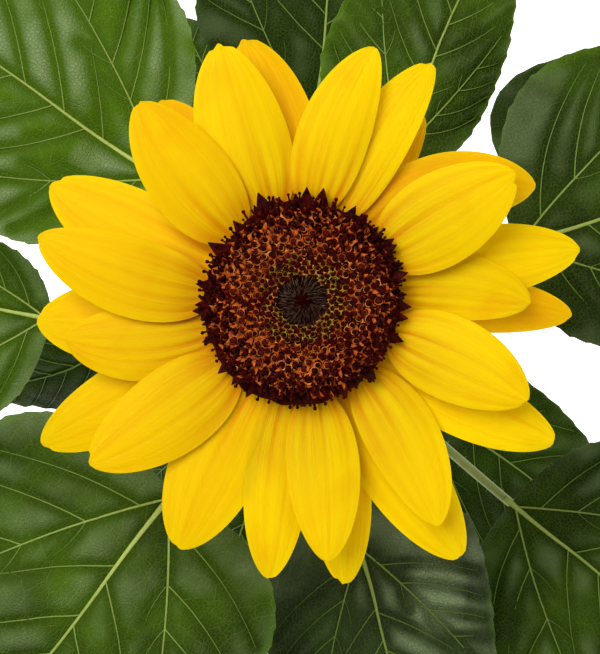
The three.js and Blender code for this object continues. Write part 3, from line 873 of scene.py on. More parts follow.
def leaf_veins(form, rng):
    """A blade's veins, each as its points, its radius at both ends and its rank: midrib, lateral, branch."""
    size = form.sizes.midrib_radius * (form.length / LEAVES[0][LEAF_COLUMNS.index("length")]) ** 0.5
    x = np.linspace(0, 1, 38) ** 1.2 * (form.length * MIDRIB_SHARE + MIDRIB_LEAD) - MIDRIB_LEAD
    wander = 0.9 * np.sin(x / form.length * 7 + rng.uniform(0, 6)) * smooth(0, 0.3, x / form.length)
    midrib = np.stack([x, wander], 1)
    veins = [(midrib, (size, size * 0.22), 0)]
    for side, half in ((1, form.left), (-1, form.right)):
        lateral = lateral_vein(form, rng, side, half)
        if lateral is not None:
            inner, outer = lateral_branches(form, rng, lateral, side, half)
            veins.append((lateral, (size * 0.58, size * 0.2), 1))
            veins += [(line, (size * 0.2, size * 0.1), 2) for line in inner]
            veins += [(line, (size * 0.32, size * 0.12), 2) for line in outer]
        ribs = side_ribs(form, rng, midrib, lateral, side, half)
        veins += [(line, (size * 0.34, size * 0.12), 2) for line in ribs]
    return veins


def leaf_relief(form, veins, seed):
    """The function that gives the blade's height over its smooth surface, and how near a vein is.

    It takes a point's x and y in millimetres, and its share s along the blade.
    """
    widths = (3.4, 2.8, 2.1)
    depths = np.array([1, 0.72, 0.5]) * form.sizes.groove
    flat_width, halo_width = 5.5, 2.8

    def height(x, y, s):
        groove = np.zeros(x.shape)
        least = np.full(x.shape, FAR)
        for line, _, rank in veins:
            gap = distance_to(line, x, y)
            groove = np.maximum(groove, depths[rank] * bell(gap, widths[rank]))
            least = np.minimum(least, gap)
        bulge = form.sizes.bulge * ((0.9 + 0.5 * form.gloss) * (1 - bell(least, flat_width)) - 0.4)
        for k, (depth, size) in enumerate(((0.24, 11), (0.1, 4.5), (0.8, 36))):
            bulge = bulge + depth * ripples(x, y, size, seed + k)
        return (bulge - groove) * smooth(0, FADE, s), bell(least, halo_width)

    return height


def margin_rows(form, teeth, steps):
    """Shares along the blade at even steps of its margin, so that each tooth has the same number of rows."""
    s = np.linspace(0, 1, 3000) ** 2
    run = run_along(np.stack(form.spot(s, np.ones_like(s)), 1))
    return np.interp(np.linspace(0, run[-1], teeth * steps + 1), run, s)


def leaf_blade(shape, form, index, fine):
    """A blade with its teeth, waves and quilting, and its veins as ridges of their own. Gives its relief."""
    rng = np.random.default_rng(100 + index)
    leaf = form.sizes
    veins = leaf_veins(form, rng)
    relief = leaf_relief(form, veins, 40 + index)
    steps, cells, coarseness, lift = (4, 68, 1, 0.27) if fine else (3, 40, 1.5, 0.55)
    teeth = int(form.length * 1.25 / (leaf.tooth_spacing * coarseness))
    rows = margin_rows(form, teeth, steps)
    s, t = grid(rows, cells + 1)
    x, y = form.spot(s, t)
    edge_x, edge_y = np.gradient(x, axis=0), np.gradient(y, axis=0)
    sharp = (np.arange(len(rows)) % steps) / steps
    size = np.repeat(rng.uniform(0.6, 1.25, teeth + 1), steps)[: len(rows)]
    tooth = leaf.tooth * sharp**1.3 * size * smooth(0, 0.05, rows) * (1 - smooth(0.96, 1, rows))
    push = np.sign(t) * tooth[:, None] * np.abs(t) ** 7 / np.hypot(edge_x, edge_y)
    x, y = x - edge_y * push, y + edge_x * push
    height, halo = relief(x, y, s)
    phase = rng.uniform(0, 6, 4)
    swell = np.sin(x / 11 + phase[0]) + 0.6 * np.sin(x / 6.3 + phase[1])
    other = np.sin(x / 10 + phase[2]) + 0.6 * np.sin(x / 5.7 + phase[3])
    wave = leaf.wave * np.abs(t) ** 3 * np.where(t > 0, swell, other)
    height = height + wave * smooth(0, 0.2, s) * (1 - 0.5 * s) * smooth(0, FADE, s)
    thick = leaf.thickness * (1 - 0.5 * np.abs(t) ** 6)
    points, faces, under = sheet(form.place(x, y, height + thick / 2), form.place(x, y, height - thick / 2))
    # Painted shade: the tint falls towards the blade's base, which lies in the shade of the head; it rises at
    # the margin, for a paler rim.
    tint = form.tint + 0.35 * (s - 0.45) + 0.45 * smooth(0.94, 1, np.abs(t))
    # Painted highlight: on the glossiest leaf the gloss tone rises into a broad patch, which the upper side's
    # finish paints as sheen; it also makes the patch a little smoother.
    glossy = form.gloss >= 1
    gloss = 0.3 + 1.2 * bell(s - 0.3, 0.18) * bell(t - 0.52, 0.4) if glossy else form.gloss
    finish = np.where((under == UPPER) & glossy, GLOSSY, under)
    shape.add(points, faces, finish, both_faces(x + index * PLACE_STEP, y, 0), both_faces(halo, tint, gloss))
    for vein in veins:
        add_vein(shape, form, vein, relief, index, lift)
    return relief


def add_vein(shape, form, vein, relief, index, lift):
    """One vein as a low ridge on both faces of the blade, its edges lift millimetres over the upper one."""
    line, radii, rank = vein
    sides = (10, 8, 6)[rank]
    radius = np.linspace(*radii, len(line))
    if rank == 0:
        radius = radius + 0.55 * np.exp(-(line[:, 0] + MIDRIB_LEAD) / 9)
    along = unit(np.gradient(line, axis=0))
    middle = relief(*line.T, form.shares(*line.T)[0])[0] + form.sizes.thickness / 2 + lift
    turn = turns(sides)
    wide = np.cos(turn)[None] * radius[:, None]
    above = np.maximum(np.sin(turn), 0)[None] * 0.6 * radius[:, None]
    below = np.minimum(np.sin(turn), 0)[None] * (form.sizes.thickness + 0.5 + radius[:, None] * 0.5)
    x = np.r_[(line[:, :1] - along[:, 1:] * wide).ravel(), line[[0, -1], 0]]
    y = np.r_[(line[:, 1:] + along[:, :1] * wide).ravel(), line[[0, -1], 1]]
    z = np.r_[(middle[:, None] + above + below).ravel(), middle[[0, -1]]]
    place = np.stack([x + index * PLACE_STEP, y, 0 * x], -1)
    strength = with_ends(np.interp(radius, [0.1, 0.32, 0.6], [0.12, 0.5, 1]).repeat(sides))
    tone = np.stack([strength, np.full(len(x), form.tint), 0 * x], -1)
    shape.add(form.place(x, y, z), tube_faces(len(line), sides), VEIN, place, tone)


def petiole_path(form, relief):
    """The petiole leaves the stem level, climbs, arches over and runs on under the blade as its midrib."""
    span = np.linalg.norm(form.base - form.start)
    into = form.along * math.cos(form.pitch) + UP * math.sin(form.pitch)
    depth = form.sizes.petiole_radius * 0.6
    end = form.base - UP * depth
    p = [form.start - form.outward * 0.8, form.start + form.outward * span * 0.16]
    p += [end - into * span * 0.5, end]
    u = np.linspace(0, 1, ARCH_POINTS)[:, None]
    arch = p[0] * (1 - u) ** 3 + 3 * p[1] * u * (1 - u) ** 2 + 3 * p[2] * u * u * (1 - u) + p[3] * u**3
    x = np.linspace(0, 0.3, 14)[1:] * form.length
    height, _ = relief(x, 0 * x, x / form.length)
    return np.concatenate([arch, form.place(x, 0 * x, height - depth)])


def channel(turn):
    """The section of a petiole: round, with a channel on top and faint ribs."""
    return 1 - 0.2 * np.maximum(np.sin(turn), 0) ** 4 + 0.035 * np.cos(5 * turn)


def leaf_petiole(shape, hairs, form, relief, index):
    """The petiole, round with a channel on its upper side, and its bristles."""
    rng = np.random.default_rng(300 + index)
    path = petiole_path(form, relief)
    run = run_along(path)
    part = run / run[-1]
    arch_length = run[ARCH_POINTS - 1]
    taper = 1 - 0.72 * smooth(arch_length, run[-1], run)
    radius = form.sizes.petiole_radius * (1 + 0.5 * (1 - part) ** 6 - 0.3 * part) * taper
    sides = 16
    points, faces = tube(path, radius, sides, np.cross(form.outward, UP), channel)
    r, turn = np.meshgrid(run, turns(sides), indexing="ij")
    place = np.stack([np.cos(turn) * 4, r, np.sin(turn) * 4 + index * 40], -1).reshape(-1, 3)
    shape.add(points, faces, 0, with_ends(place))
    count = int(arch_length * 1.6)
    where, around = rng.integers(1, ARCH_POINTS, count), rng.integers(0, sides, count)
    spots = points[where * sides + around]
    axes = unit(spots - path[where]) + rng.normal(0, 0.35, (count, 3))
    dealt(hairs, HAIR, spots, direction(20), axes, rng.uniform(0.8, 1.7, count))


class PetalForm:
    """One petal: out from the rim, bent towards its tip, with its edges and tip falling."""

    lower_shape = {"rise": 0.62, "fall": 0.6, "base": 0.11, "tip": 0.997, "least": 0.02}
    upper_shape = {"rise": 0.5, "fall": 0.63, "base": 0.02, "tip": 0.997, "least": 0.02}
    root_radius = 25.2  # within the cup, which holds the petals
    tier_spacing = 1.5
    top_tier = 4
    top_tier_depth = 1.2
    lowest_slope = -6
    slope_per_tier = 5

    def __init__(self, row, sizes, index):
        for key, value in zip(PETAL_COLUMNS, row):
            setattr(self, key, value)
        self.sizes = sizes
        self.shape = self.upper_shape if self.tier > 2 else self.lower_shape
        depth = self.top_tier_depth + (self.top_tier - self.tier) * self.tier_spacing
        centre = RIM_CENTRE - UP * depth
        self.start = centre + direction(self.root) * self.root_radius
        self.end = centre + direction(self.tip) * self.reach
        self.length = np.linalg.norm(self.end - self.start)
        self.handle = self.start + direction(self.root) * self.length / 2
        self.slope = math.tan(math.radians(self.lowest_slope + self.slope_per_tier * self.tier))
        rng = np.random.default_rng(500 + index)
        count = rng.integers(4, 7)
        spread = np.linspace(-0.74, 0.74, count)
        self.pleats = spread + rng.uniform(-0.1, 0.1, count)
        self.depths = rng.uniform(0.35, 1.0, count) * sizes.pleat
        self.depths[count // 2] *= 1.3
        self.widths = rng.uniform(0.04, 0.11, count)
        self.notches = rng.uniform(-2.4, 2.4, 2)
        self.twist = rng.uniform(-0.03, 0.03)
        self.phase = rng.uniform(0, 6, 4)

    def grooves(self, s, t):
        """How deep the pleats are at a point, in millimetres."""
        total = np.zeros(s.shape)
        for middle, depth, width in zip(self.pleats, self.depths, self.widths):
            total += depth * bell(t - middle, width)
        strength = 0.34 + 0.9 * np.maximum(1.05 - 2 * s, 0) ** 1.3 + 0.1 * smooth(0.7, 0.9, s)
        return total * strength * (1 - 0.9 * smooth(0.86, 1, s))

    def place(self, s, t, height):
        u, v = s[..., None], 1 - s[..., None]
        middle = self.start * v * v + self.handle * 2 * u * v + self.end * u * u
        along = unit((self.handle - self.start) * v + (self.end - self.handle) * u)
        side = np.cross(UP, along)
        half = self.width / 2 * outline(s, **self.shape)
        y = t * half
        rise = self.length * (self.slope * s - self.sizes.drop * s * s) - self.sizes.camber * half * t * t
        rise = rise + 0.1 * half * t * t * (1 - smooth(0.05, 0.35, s))
        rise = rise + self.twist * y * smooth(0.1, 0.8, s) - self.curl * smooth(0.8, 1.02, s) ** 1.5
        wave = np.sin(9 * s + self.phase[0]) * (t > 0) + np.sin(8 * s + self.phase[1]) * (t < 0)
        rise = rise + 0.34 * wave * np.abs(t) ** 2.5 * smooth(0.1, 0.4, s) - self.grooves(s, t) + height
        cut = bell(y - self.notches[0], 0.9) + 0.5 * bell(y - self.notches[1], 0.7)
        back = self.notch * cut * smooth(0.88, 1, s)
        return middle + side * y[..., None] + UP * rise[..., None] - along * back[..., None]


def petal_piece(index, row, sizes, finish):
    """One petal with its pleats, notched end and thin edges."""
    form = PetalForm(row, sizes, index)
    s, t = grid(1 - (1 - np.linspace(0, 1, 47) ** 1.1) ** 1.12, 43)
    thick = sizes.thickness * (1 - 0.55 * t**4) * (1 - 0.4 * smooth(0.8, 1, s))
    points, faces, _ = sheet(form.place(s, t, thick / 2), form.place(s, t, -thick / 2))
    # Where the orange base lies: strongest next to the disc and towards the edges, partly painted shade where
    # the petals overlap.
    base = (1 - smooth(0.0, 0.26, s)) * (0.3 + 0.5 * np.abs(t))
    # The pleats' depth, which the finish paints as shade.
    groove = np.clip(form.grooves(s, t) / sizes.pleat, 0, 1)
    ends = np.maximum(1.02 - 2 * s, 0) ** 1.2 + 0.2 * smooth(0.7, 1, s)
    place = both_faces(s * form.length, t * 10, index * 37.0)
    shape = Shape()
    shape.add(points, faces, 0, place, both_faces(base, groove, ends))
    node = f"petal_{index + 1:02d}"
    add_piece(node + "_ray", shape, [finish], [node], crease=60)


def ball(radius, sides, rows):
    """A small closed ball about the origin."""
    turn = np.linspace(-0.46, 0.46, rows) * math.pi
    return lathe(np.stack([np.cos(turn), np.sin(turn)], 1) * radius, sides)


def moved(part, offset):
    points, faces = part
    return points + np.asarray(offset), faces


DARK, RED, ORANGE, OLIVE, GREY, LIP = range(6)  # the finishes of the florets, in their order on a mesh


def curled_arm(side, rise, reach, knob):
    """One arm of a stigma: up, out to one side and over, with a round knob at its end."""
    curl = np.linspace(0, 1, 6) * math.radians(110)
    x, z = side * (1 - np.cos(curl)) * reach / 1.34, rise + np.sin(curl) * reach / 1.2
    path = np.stack([x, 0 * curl, z], 1)
    stalk = tube(path, np.linspace(0.24, 0.2, 6), 5, (0, 1, 0))
    return [(*stalk, DARK), (*moved(ball(knob, 7, 5), path[-1]), DARK)]


def open_floret(rng, bright):
    """An open floret: a tube with curled lobes, a dark ring of anthers, and a stigma of two knobbed arms."""
    tube_part = lathe([(0.02, 0), (0.7, 0.1), (0.74, 1.6), (0.92, 2.4), (0.8, 2.45), (0.4, 2.0)], 9)
    parts = [(*tube_part, RED)]
    u, v = grid(np.linspace(0, 1, 4), 3)
    reach, rise = 0.8 + 0.7 * u, 2.4 + 0.6 * u - 0.8 * u * u + 0.12 * v * v
    wide = v * (0.5 * (1 - u**1.6) + 0.03)
    for k, turn in enumerate(turns(5)):
        out, across = level(turn), level(turn + math.pi / 2)
        top = out * reach[..., None] + across * wide[..., None] + UP * rise[..., None]
        points, faces, _ = sheet(top, top - UP * 0.1)
        parts.append((points, faces, ORANGE if k < bright else RED))
    profile = [(0.02, 1.8), (0.5, 1.9), (0.56, 3.2), (0.62, 3.8), (0.44, 4.2), (0.02, 4.25)]
    parts.append((*lathe(profile, 10, lambda turn: 1 + 0.14 * np.cos(5 * turn)), DARK))
    for side in (1, -1):
        parts += curled_arm(side, 4.0 + rng.uniform(0, 0.6), rng.uniform(0.9, 1.3), rng.uniform(0.4, 0.52))
    return joined(*parts)


def bud(rng, lip, thick, tip_finish, wide):
    """A closed bud: a maroon cup with an uneven lip round a dark five-lobed tip, wide across."""
    cup = lathe([(0.02, 0), (0.8, 0.1), (0.98, 1.2), (1.02, 2.0), (0.9, 2.1), (0.8, 1.7), (0.02, 1.5)], 12)
    turn = turns(12)
    reach = 0.98 + 0.05 * np.cos(3 * turn + rng.uniform(0, 6))
    high = 2.08 + 0.12 * np.cos(2 * turn + rng.uniform(0, 6))
    swell = thick * np.maximum(0.6 + 0.7 * np.cos(turn - rng.uniform(0, 6)), 0.12)
    spin = turns(4)
    out = (reach[:, None] + swell[:, None] * np.cos(spin))[..., None] * level(turn)[:, None]
    lip_points = out + (high[:, None] + swell[:, None] * np.sin(spin))[..., None] * UP
    lip_faces = (grid_faces(13, 4, around=True) % 48)[:, ::-1]
    top = 2.0 + rng.uniform(0, 0.5)
    dome = [(0.02, 1.2), (wide, 1.3), (wide * 1.06, top), (wide * 0.8, top + 0.4), (wide * 0.4, top + 0.5)]
    tip = lathe([*dome, (0.02, top + 0.25)], 15, lambda turn: 1 + 0.18 * np.cos(5 * turn))
    eye = moved(ball(0.22, 6, 4), (0, 0, top + 0.4))
    return joined((*cup, RED), (lip_points.reshape(-1, 3), lip_faces, lip), (*tip, tip_finish), (*eye, DARK))


def spike(radius, tall, lean, tip_finish, body_finish):
    """A small pointed bristle that leans outward, with its tip in a finish of its own."""
    sides = 5
    u = np.linspace(0, 1, 6)
    wide = radius * (1 - 0.6 * u**1.5) * np.where(u < 1, 1, 0.4)
    points, faces = tube(np.stack([lean * u**1.8 * tall, 0 * u, tall * u], 1), wide, sides, (0, 1, 0))
    finish = np.full(len(faces), body_finish)
    finish[3 * sides : 5 * sides] = tip_finish
    finish[6 * sides :] = tip_finish
    return points, faces, finish


def tongue(wide, tall, bend, finish, sharp=2.5):
    """A thin scale that stands between the florets and bends outward. A high sharp makes its end broad."""
    u, v = grid(np.linspace(0, 1, 6), 4)
    turn = math.radians(bend) * smooth(0.3, 1, u)
    x, z = np.cumsum(np.sin(turn), 0) * tall / 6, np.cumsum(np.cos(turn), 0) * tall / 6
    face = np.stack([x, v * wide * (1 - 0.96 * u**sharp), z + 0.2 * v * v * (1 - u)], -1)
    over = np.stack([-np.cos(turn), 0 * turn, np.sin(turn)], -1) * 0.05
    points, faces, _ = sheet(face + over, face - over)
    return points, faces, finish


def star(finish):
    """A small domed star of three arms, which fills the gap between three florets."""
    reach = np.where(np.arange(6) % 2, 0.24, 1.0)[:, None]
    points = np.concatenate([(level(turns(6)) - UP * 0.3) * reach, [[0, 0, 0.12], [0, 0, -0.6]]])
    corner, none = np.arange(6), np.full(6, -1)
    following = (corner + 1) % 6
    over = np.stack([none + 7, corner, following, none], 1)
    under = np.stack([none + 8, following, corner, none], 1)
    return points, np.concatenate([over, under]), finish


def gaps_between(spots):
    """The middle of each gap between neighbouring spots, the way to it from a corner, and its size."""
    places, _, triangles = delaunay_2d_cdt([Vector(spot) for spot in spots], [], [], 0, 1e-6)[:3]
    corners = np.array([places[k] for triangle in triangles for k in triangle]).reshape(-1, 3, 2)
    middles = corners.mean(1)
    return middles, middles - corners[:, 0], np.linalg.norm(corners - middles[:, None], axis=2).mean(1)


def spiral_spots(disc):
    """Where the florets stand: a golden-angle spiral whose spacing grows from the centre to the rim."""
    radius = np.linspace(0, disc.radius, 4000)
    gap = disc.young_spacing + (disc.ripe_spacing - disc.young_spacing) * (radius / disc.radius) ** 1.1
    number = np.r_[0, np.cumsum((2 * math.pi * radius / gap**2)[1:] * radius[1])]
    order = np.arange(int(number[-1])) + 0.5
    where = np.interp(order, number, radius)
    return where, order * GOLDEN_TURN, np.interp(where, radius, gap)


def disc_height(part):
    """The height of the florets' tops over the rim at a share of the radius, with its corners rounded off."""
    shares, heights = zip(*DISC_PROFILE)
    fine = np.linspace(-0.12, 0.12, 9)[:, None]
    return np.interp(np.clip(np.abs(part + fine), 0, 1), shares, heights).mean(0)


def floret_lean(part):
    """How far the florets lean outward at a share of the radius, in radians."""
    return np.radians(np.interp(part, [0, 0.3, 0.6, 0.85, 1], [-8, -22, 2, 20, 42]))


def rim_reach(turn):
    """How far the disc's rim stands out or back at a turn in radians."""
    degrees, reach = zip(*RIM_REACH)
    return np.interp(np.degrees(turn), degrees, reach, period=360)


def cushion(shape, disc):
    """The dark ground that the florets stand in."""
    part = np.linspace(1, 0.002, 34)
    top = np.stack([part * disc.radius * 0.985, disc_height(part) - 3.1], 1)
    skirt = [(0.02, 0.35), (disc.radius + 0.6, 0.35), (disc.radius + 1.0, 0.4), (disc.radius + 0.7, 0.9)]
    profile = np.concatenate([skirt, top])
    points, faces = lathe(
        profile, 120, lambda turn: 1 + 0.008 * np.sin(17 * turn) + 0.006 * np.sin(31 * turn)
    )
    x, y, z = points.T
    radius = np.hypot(x, y)
    points[:, 2] = z + 0.22 * ripples(x, y, 3, 5) * smooth(0.4, 1.2, z) * (radius > 0)
    points[:, :2] *= (1 + rim_reach(np.arctan2(y, x)) / disc.radius * (radius / disc.radius) ** 2)[:, None]
    shape.add(points + RIM_CENTRE, faces, DARK)


class Florets(SimpleNamespace):
    """Where florets stand: their tops, ways out, axes and gaps, and which of them are in the black eye."""

    def sunk(self, depth):
        """The spots at a depth under the tops."""
        return self.tops - self.axes * np.reshape(depth, (-1, 1))

    def chosen(self, which):
        return Florets(**{key: values[which] for key, values in vars(self).items()})


def add_open(shape, rng, florets):
    """The open florets, each turned its own way, with orange or dark scales between them."""
    count = len(florets.gap)
    forms = [open_floret(rng, bright) for bright in (0, 1, 2, 0, 3, 1, 0)]
    facing = level(rng.uniform(0, 2 * math.pi, count))
    scale = florets.gap / 2.75 * rng.uniform(0.88, 1.08, count)
    deal_forms(shape, rng, forms, florets.sunk(4.0 * scale), facing, florets.axes, scale)
    scales = ((RED, 0.9, 50, -1), (ORANGE, 0.9, 80, 1), (ORANGE, 0.5, 80, -0.6), (DARK, 0.7, 40, -1.2))
    for finish, chance, bend, side in scales:
        pick = rng.random(count) < chance
        spots = florets.sunk(3.0) + facing * 1.1 * side
        dealt(shape, tongue(0.5, 3.6, bend, finish, 4), spots, facing, florets.axes, scale, pick)


def add_buds(shape, rng, florets):
    """The closed buds, some with pale lips, and the orange scales between them, most of them on the left as
    painted light.
    """
    count = len(florets.gap)
    lips = ((LIP, 0.075), (LIP, 0.06), (RED, 0.1), (ORANGE, 0.1), (LIP, 0.09), (RED, 0.08))
    tips = ((RED, 0.66), (DARK, 0.52), (DARK, 0.52)) * 2
    forms = [bud(rng, *lip, *tip) for lip, tip in zip(lips, tips)]
    scale = florets.gap / 2.4 * rng.uniform(0.8, 1.12, count)
    deal_forms(shape, rng, forms, florets.sunk(2.3 * scale), florets.out, florets.axes, scale)
    # Painted light: more orange scales on the left side, where the light falls, stand in for that side being
    # lit.
    left = 0.5 - 0.5 * florets.out[:, 0]
    across = np.cross(UP, florets.out)
    sides = ((1.15, 0.3, 0.16, 0.7), (-1.1, -0.5, 0.1, 0.5), (0.2, 1.2, 0.1, 0.6), (-0.3, -1.2, 0.1, 0.6))
    for outward, aside, chance, more in sides:
        pick = rng.random(count) < chance + more * left
        away = florets.out * outward + across * aside + rng.normal(0, 0.15, across.shape)
        spots = florets.sunk(2.5) + away * scale[:, None]
        size = scale * rng.uniform(0.8, 1.25, count)
        way = florets.out + across * rng.normal(0, 0.9, (count, 1))
        dealt(shape, tongue(0.38, 3.3, 84, ORANGE, 6), spots, way, florets.axes, size, pick)
        dealt(shape, tongue(0.42, 2.6, 60, RED), spots, way, florets.axes, size, ~pick)


def add_young(shape, rng, florets):
    """The youngest buds: small dark domes with yellow-green lips and tips."""
    lips = ((OLIVE, 0.08), (RED, 0.08), (OLIVE, 0.06), (OLIVE, 0.11), (RED, 0.07))
    forms = [bud(rng, lip, thick, DARK, 0.6) for lip, thick in lips]
    scale = florets.gap / 2.2
    deal_forms(shape, rng, forms, florets.sunk(2.4 * scale), florets.out, florets.axes, scale)
    for side in (0.95, -0.95):
        turn = rng.normal(0, 0.3, florets.tops.shape) * [1, 1, 0]
        spots = florets.sunk(2.0) + (florets.out * side + turn) * florets.gap[:, None] * 0.5
        olive = rng.random(len(scale)) < 0.3 + 0.3 * florets.out[:, 0]
        size = scale * rng.uniform(0.75, 1.1, len(scale))
        way = turn - florets.out
        dealt(shape, tongue(0.3, 2.9, 88, OLIVE, 4), spots, way, florets.axes, size, olive)
        dealt(shape, tongue(0.3, 2.6, 70, RED, 4), spots, way, florets.axes, size, ~olive)


def add_centre(shape, rng, florets):
    """The fine grey bristles of the centre, which lean together round a black eye."""
    swirl = np.cross(UP, florets.out) * 0.12
    black = spike(0.16, 2.6, -0.2, DARK, DARK)
    for tip, body in ((GREY, GREY), (GREY, GREY), (GREY, DARK), (GREY, DARK), (DARK, DARK)):
        turn = rng.normal(0, 0.33, florets.tops.shape) * [1, 1, 0]
        spots = florets.sunk(2.2) + turn * florets.gap[:, None]
        axes = florets.axes + turn * 0.3 + swirl
        size = florets.gap / 1.15 * rng.uniform(0.75, 1.1, len(florets.gap))
        dealt(shape, spike(0.12, 3.2, -0.3, tip, body), spots, florets.out + turn, axes, size, ~florets.eye)
        dealt(shape, black, spots, florets.out + turn, axes, size, florets.eye)


def add_stars(shape, disc, spots, centre):
    """The bright scale tips that show in the gaps between the florets."""
    rng = np.random.default_rng(43)
    middles, ways, size = gaps_between(spots)
    radius = np.hypot(*middles.T)
    part = radius / disc.radius
    out = np.c_[middles / np.maximum(radius, 1e-6)[:, None], 0 * part]
    axes = tilted(out, floret_lean(part)) + rng.normal(0, 0.1, out.shape)
    depth = np.interp(part, [disc.young_zone, disc.bud_zone, disc.open_zone], [0.3, 0.5, 0.9])
    heights = disc_height(part) - depth + rng.normal(0, 0.12, len(part))
    places = centre + np.c_[middles, heights]
    chance = rng.random(len(part))
    kind = np.where(chance < 0.62, ORANGE, np.where(chance < 0.76, LIP, RED))
    young = part < disc.bud_zone + rng.uniform(-0.08, 0.03, len(part))
    kind = np.where(young & (chance < 0.55 + 0.25 * out[:, 0] - 0.15 * out[:, 1]), OLIVE, kind)
    kept = (part > disc.young_zone) & (part < 0.97)
    for finish in (ORANGE, LIP, RED, OLIVE):
        pick = kept & (kind == finish)
        scale = size[pick] * rng.uniform(0.35, 0.95, pick.sum())
        dealt(shape, star(finish), places[pick], np.c_[ways, 0 * part][pick], axes[pick], scale)


def ring(rng, count, jitter, tilts, wobble=0):
    """A loose ring's turns and ways out, and axes that lean out by an angle between tilts, in degrees."""
    turn = (np.arange(count) + rng.uniform(-jitter, jitter, count)) * 2 * math.pi / count
    out = level(turn)
    axes = tilted(out, np.radians(rng.uniform(*tilts, count)))
    if wobble:
        axes = axes + rng.normal(0, wobble, out.shape)
    return turn, out, axes


def add_skirt(shape, rng, disc, centre):
    """The outermost open florets, which lie over and hide the disc's edge."""
    forms = [open_floret(rng, bright) for bright in (1, 2, 0, 3)]
    for count, inward, height, tilts in ((46, 0.4, 2.2, (52, 72)), (40, 1.6, 3.6, (34, 56))):
        turn, out, axes = ring(rng, count, 0.3, tilts, 0.1)
        reach = disc.radius - inward - rng.uniform(0, 0.8, count) + rim_reach(turn)
        spots = centre + out * reach[:, None] + UP * height - unit(axes) * 3.4
        scale = rng.uniform(0.82, 1.05, count)
        deal_forms(shape, rng, forms, spots, UP + rng.normal(0, 0.5, out.shape), axes, scale)


def add_rim(shape, rng, disc, centre):
    """Knobbed stigmas that lean out over the petals, and the dark points of the outermost scales."""
    u = np.linspace(0, 1, 5)
    path = np.stack([0.5 * u * u, 0 * u, 3.6 * u], 1)
    stalk = tube(path, np.linspace(0.34, 0.27, 5), 6, (0, 1, 0))
    drumstick = joined((*stalk, DARK), (*moved(ball(0.54, 8, 6), path[-1]), DARK))
    for count, inward, heights, tilts in ((88, 1.2, (2.4, 4.2), (58, 84)), (60, 3.4, (4.0, 5.6), (35, 62))):
        turn, out, axes = ring(rng, count, 0.45, tilts, 0.12)
        spots = centre + out * (disc.radius - inward + rim_reach(turn))[:, None]
        spots = spots + UP * rng.uniform(*heights, count)[:, None]
        dealt(shape, drumstick, spots, out, axes, rng.uniform(0.65, 1.1, count))
    points = ((46, 2.4, 1.5, 3.4, 1.1), (30, 3.2, 2.2, 6.3, 1.9), (15, 3.6, 2.7, 7.8, 2.4))
    for count, inward, wide, tall, height in points:
        turn, out, axes = ring(rng, count, 0.35, (78, 88))
        spots = centre + out * (disc.radius - inward + rim_reach(turn))[:, None] + UP * height
        dealt(shape, tongue(wide, tall, 4, DARK, 1.3), spots, -UP, axes, rng.uniform(0.72, 1.12, count))


class SUNFLOWER_OT_stem(bpy.types.Operator):
    """Build the ribbed, bristly stem from its flat cut at the ground to its neck under the head"""

    bl_idname = "sunflower.stem"
    bl_label = "Stem"

    def execute(self, context):
        stem, leaf = settings(context.scene, "stem"), settings(context.scene, "leaf")
        colours = settings(context.scene, "colours")
        rng = np.random.default_rng(11)
        sides, flare_top = 66, 30
        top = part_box("stem")[1].z / MM
        heights = np.r_[np.linspace(0, flare_top, 22)[:-1], np.linspace(flare_top, top, 210)]
        h, a = np.meshgrid(heights, turns(sides), indexing="ij")
        radius = stem_radius(stem, h) + 0.14 * ripples(a * 8, h / 3, 5, 21)
        radius = radius + stem.rib_depth * (np.cos(stem.ribs * a + 0.5 * np.sin(h / 70)) - 0.3)
        radius = radius + 0.55 * np.exp(-h / 9) * np.cos(5 * a + 1)
        for row in LEAVES:
            form = LeafForm(row, stem, leaf)
            bearing = math.atan2(form.outward[1], form.outward[0])
            gap = np.abs((a - bearing + math.pi) % (2 * math.pi) - math.pi)
            over = h - form.joint
            radius = radius + 1.1 * bell(gap, 0.55) * bell(over, np.where(over < 0, 11, 4))
            radius = radius + 0.22 * bell(over + 2, 3)
        out = level(a)
        points = stem_centre(stem, h) + out * radius[..., None]
        ends = stem_centre(stem, np.array([0, top]))
        place = np.stack([np.cos(a) * 7, h, np.sin(a) * 7], -1).reshape(-1, 3)
        shape, hairs = Shape(), Shape()
        all_points = np.concatenate([points.reshape(-1, 3), ends])
        shape.add(all_points, tube_faces(len(heights), sides), 0, with_ends(place))
        green = stalk_finish("stem green", colours.stem, colours.stem_shade, 0.9)
        add_piece("stem_ribbed", shape, [green], ["stem"])
        row, column = rng.integers(6, len(heights) - 1, stem.hairs), rng.integers(0, sides, stem.hairs)
        axes = out[row, column] + rng.normal(0, 0.3, (stem.hairs, 3))
        long = stem.hair_length * rng.uniform(0.6, 1.2, stem.hairs)
        dealt(hairs, HAIR, points[row, column], UP, axes, long)
        bristle = bristle_finish(colours, "bristle", colours.stem)
        add_piece("stem_bristles", hairs, [bristle], ["stem"])
        return {"FINISHED"}


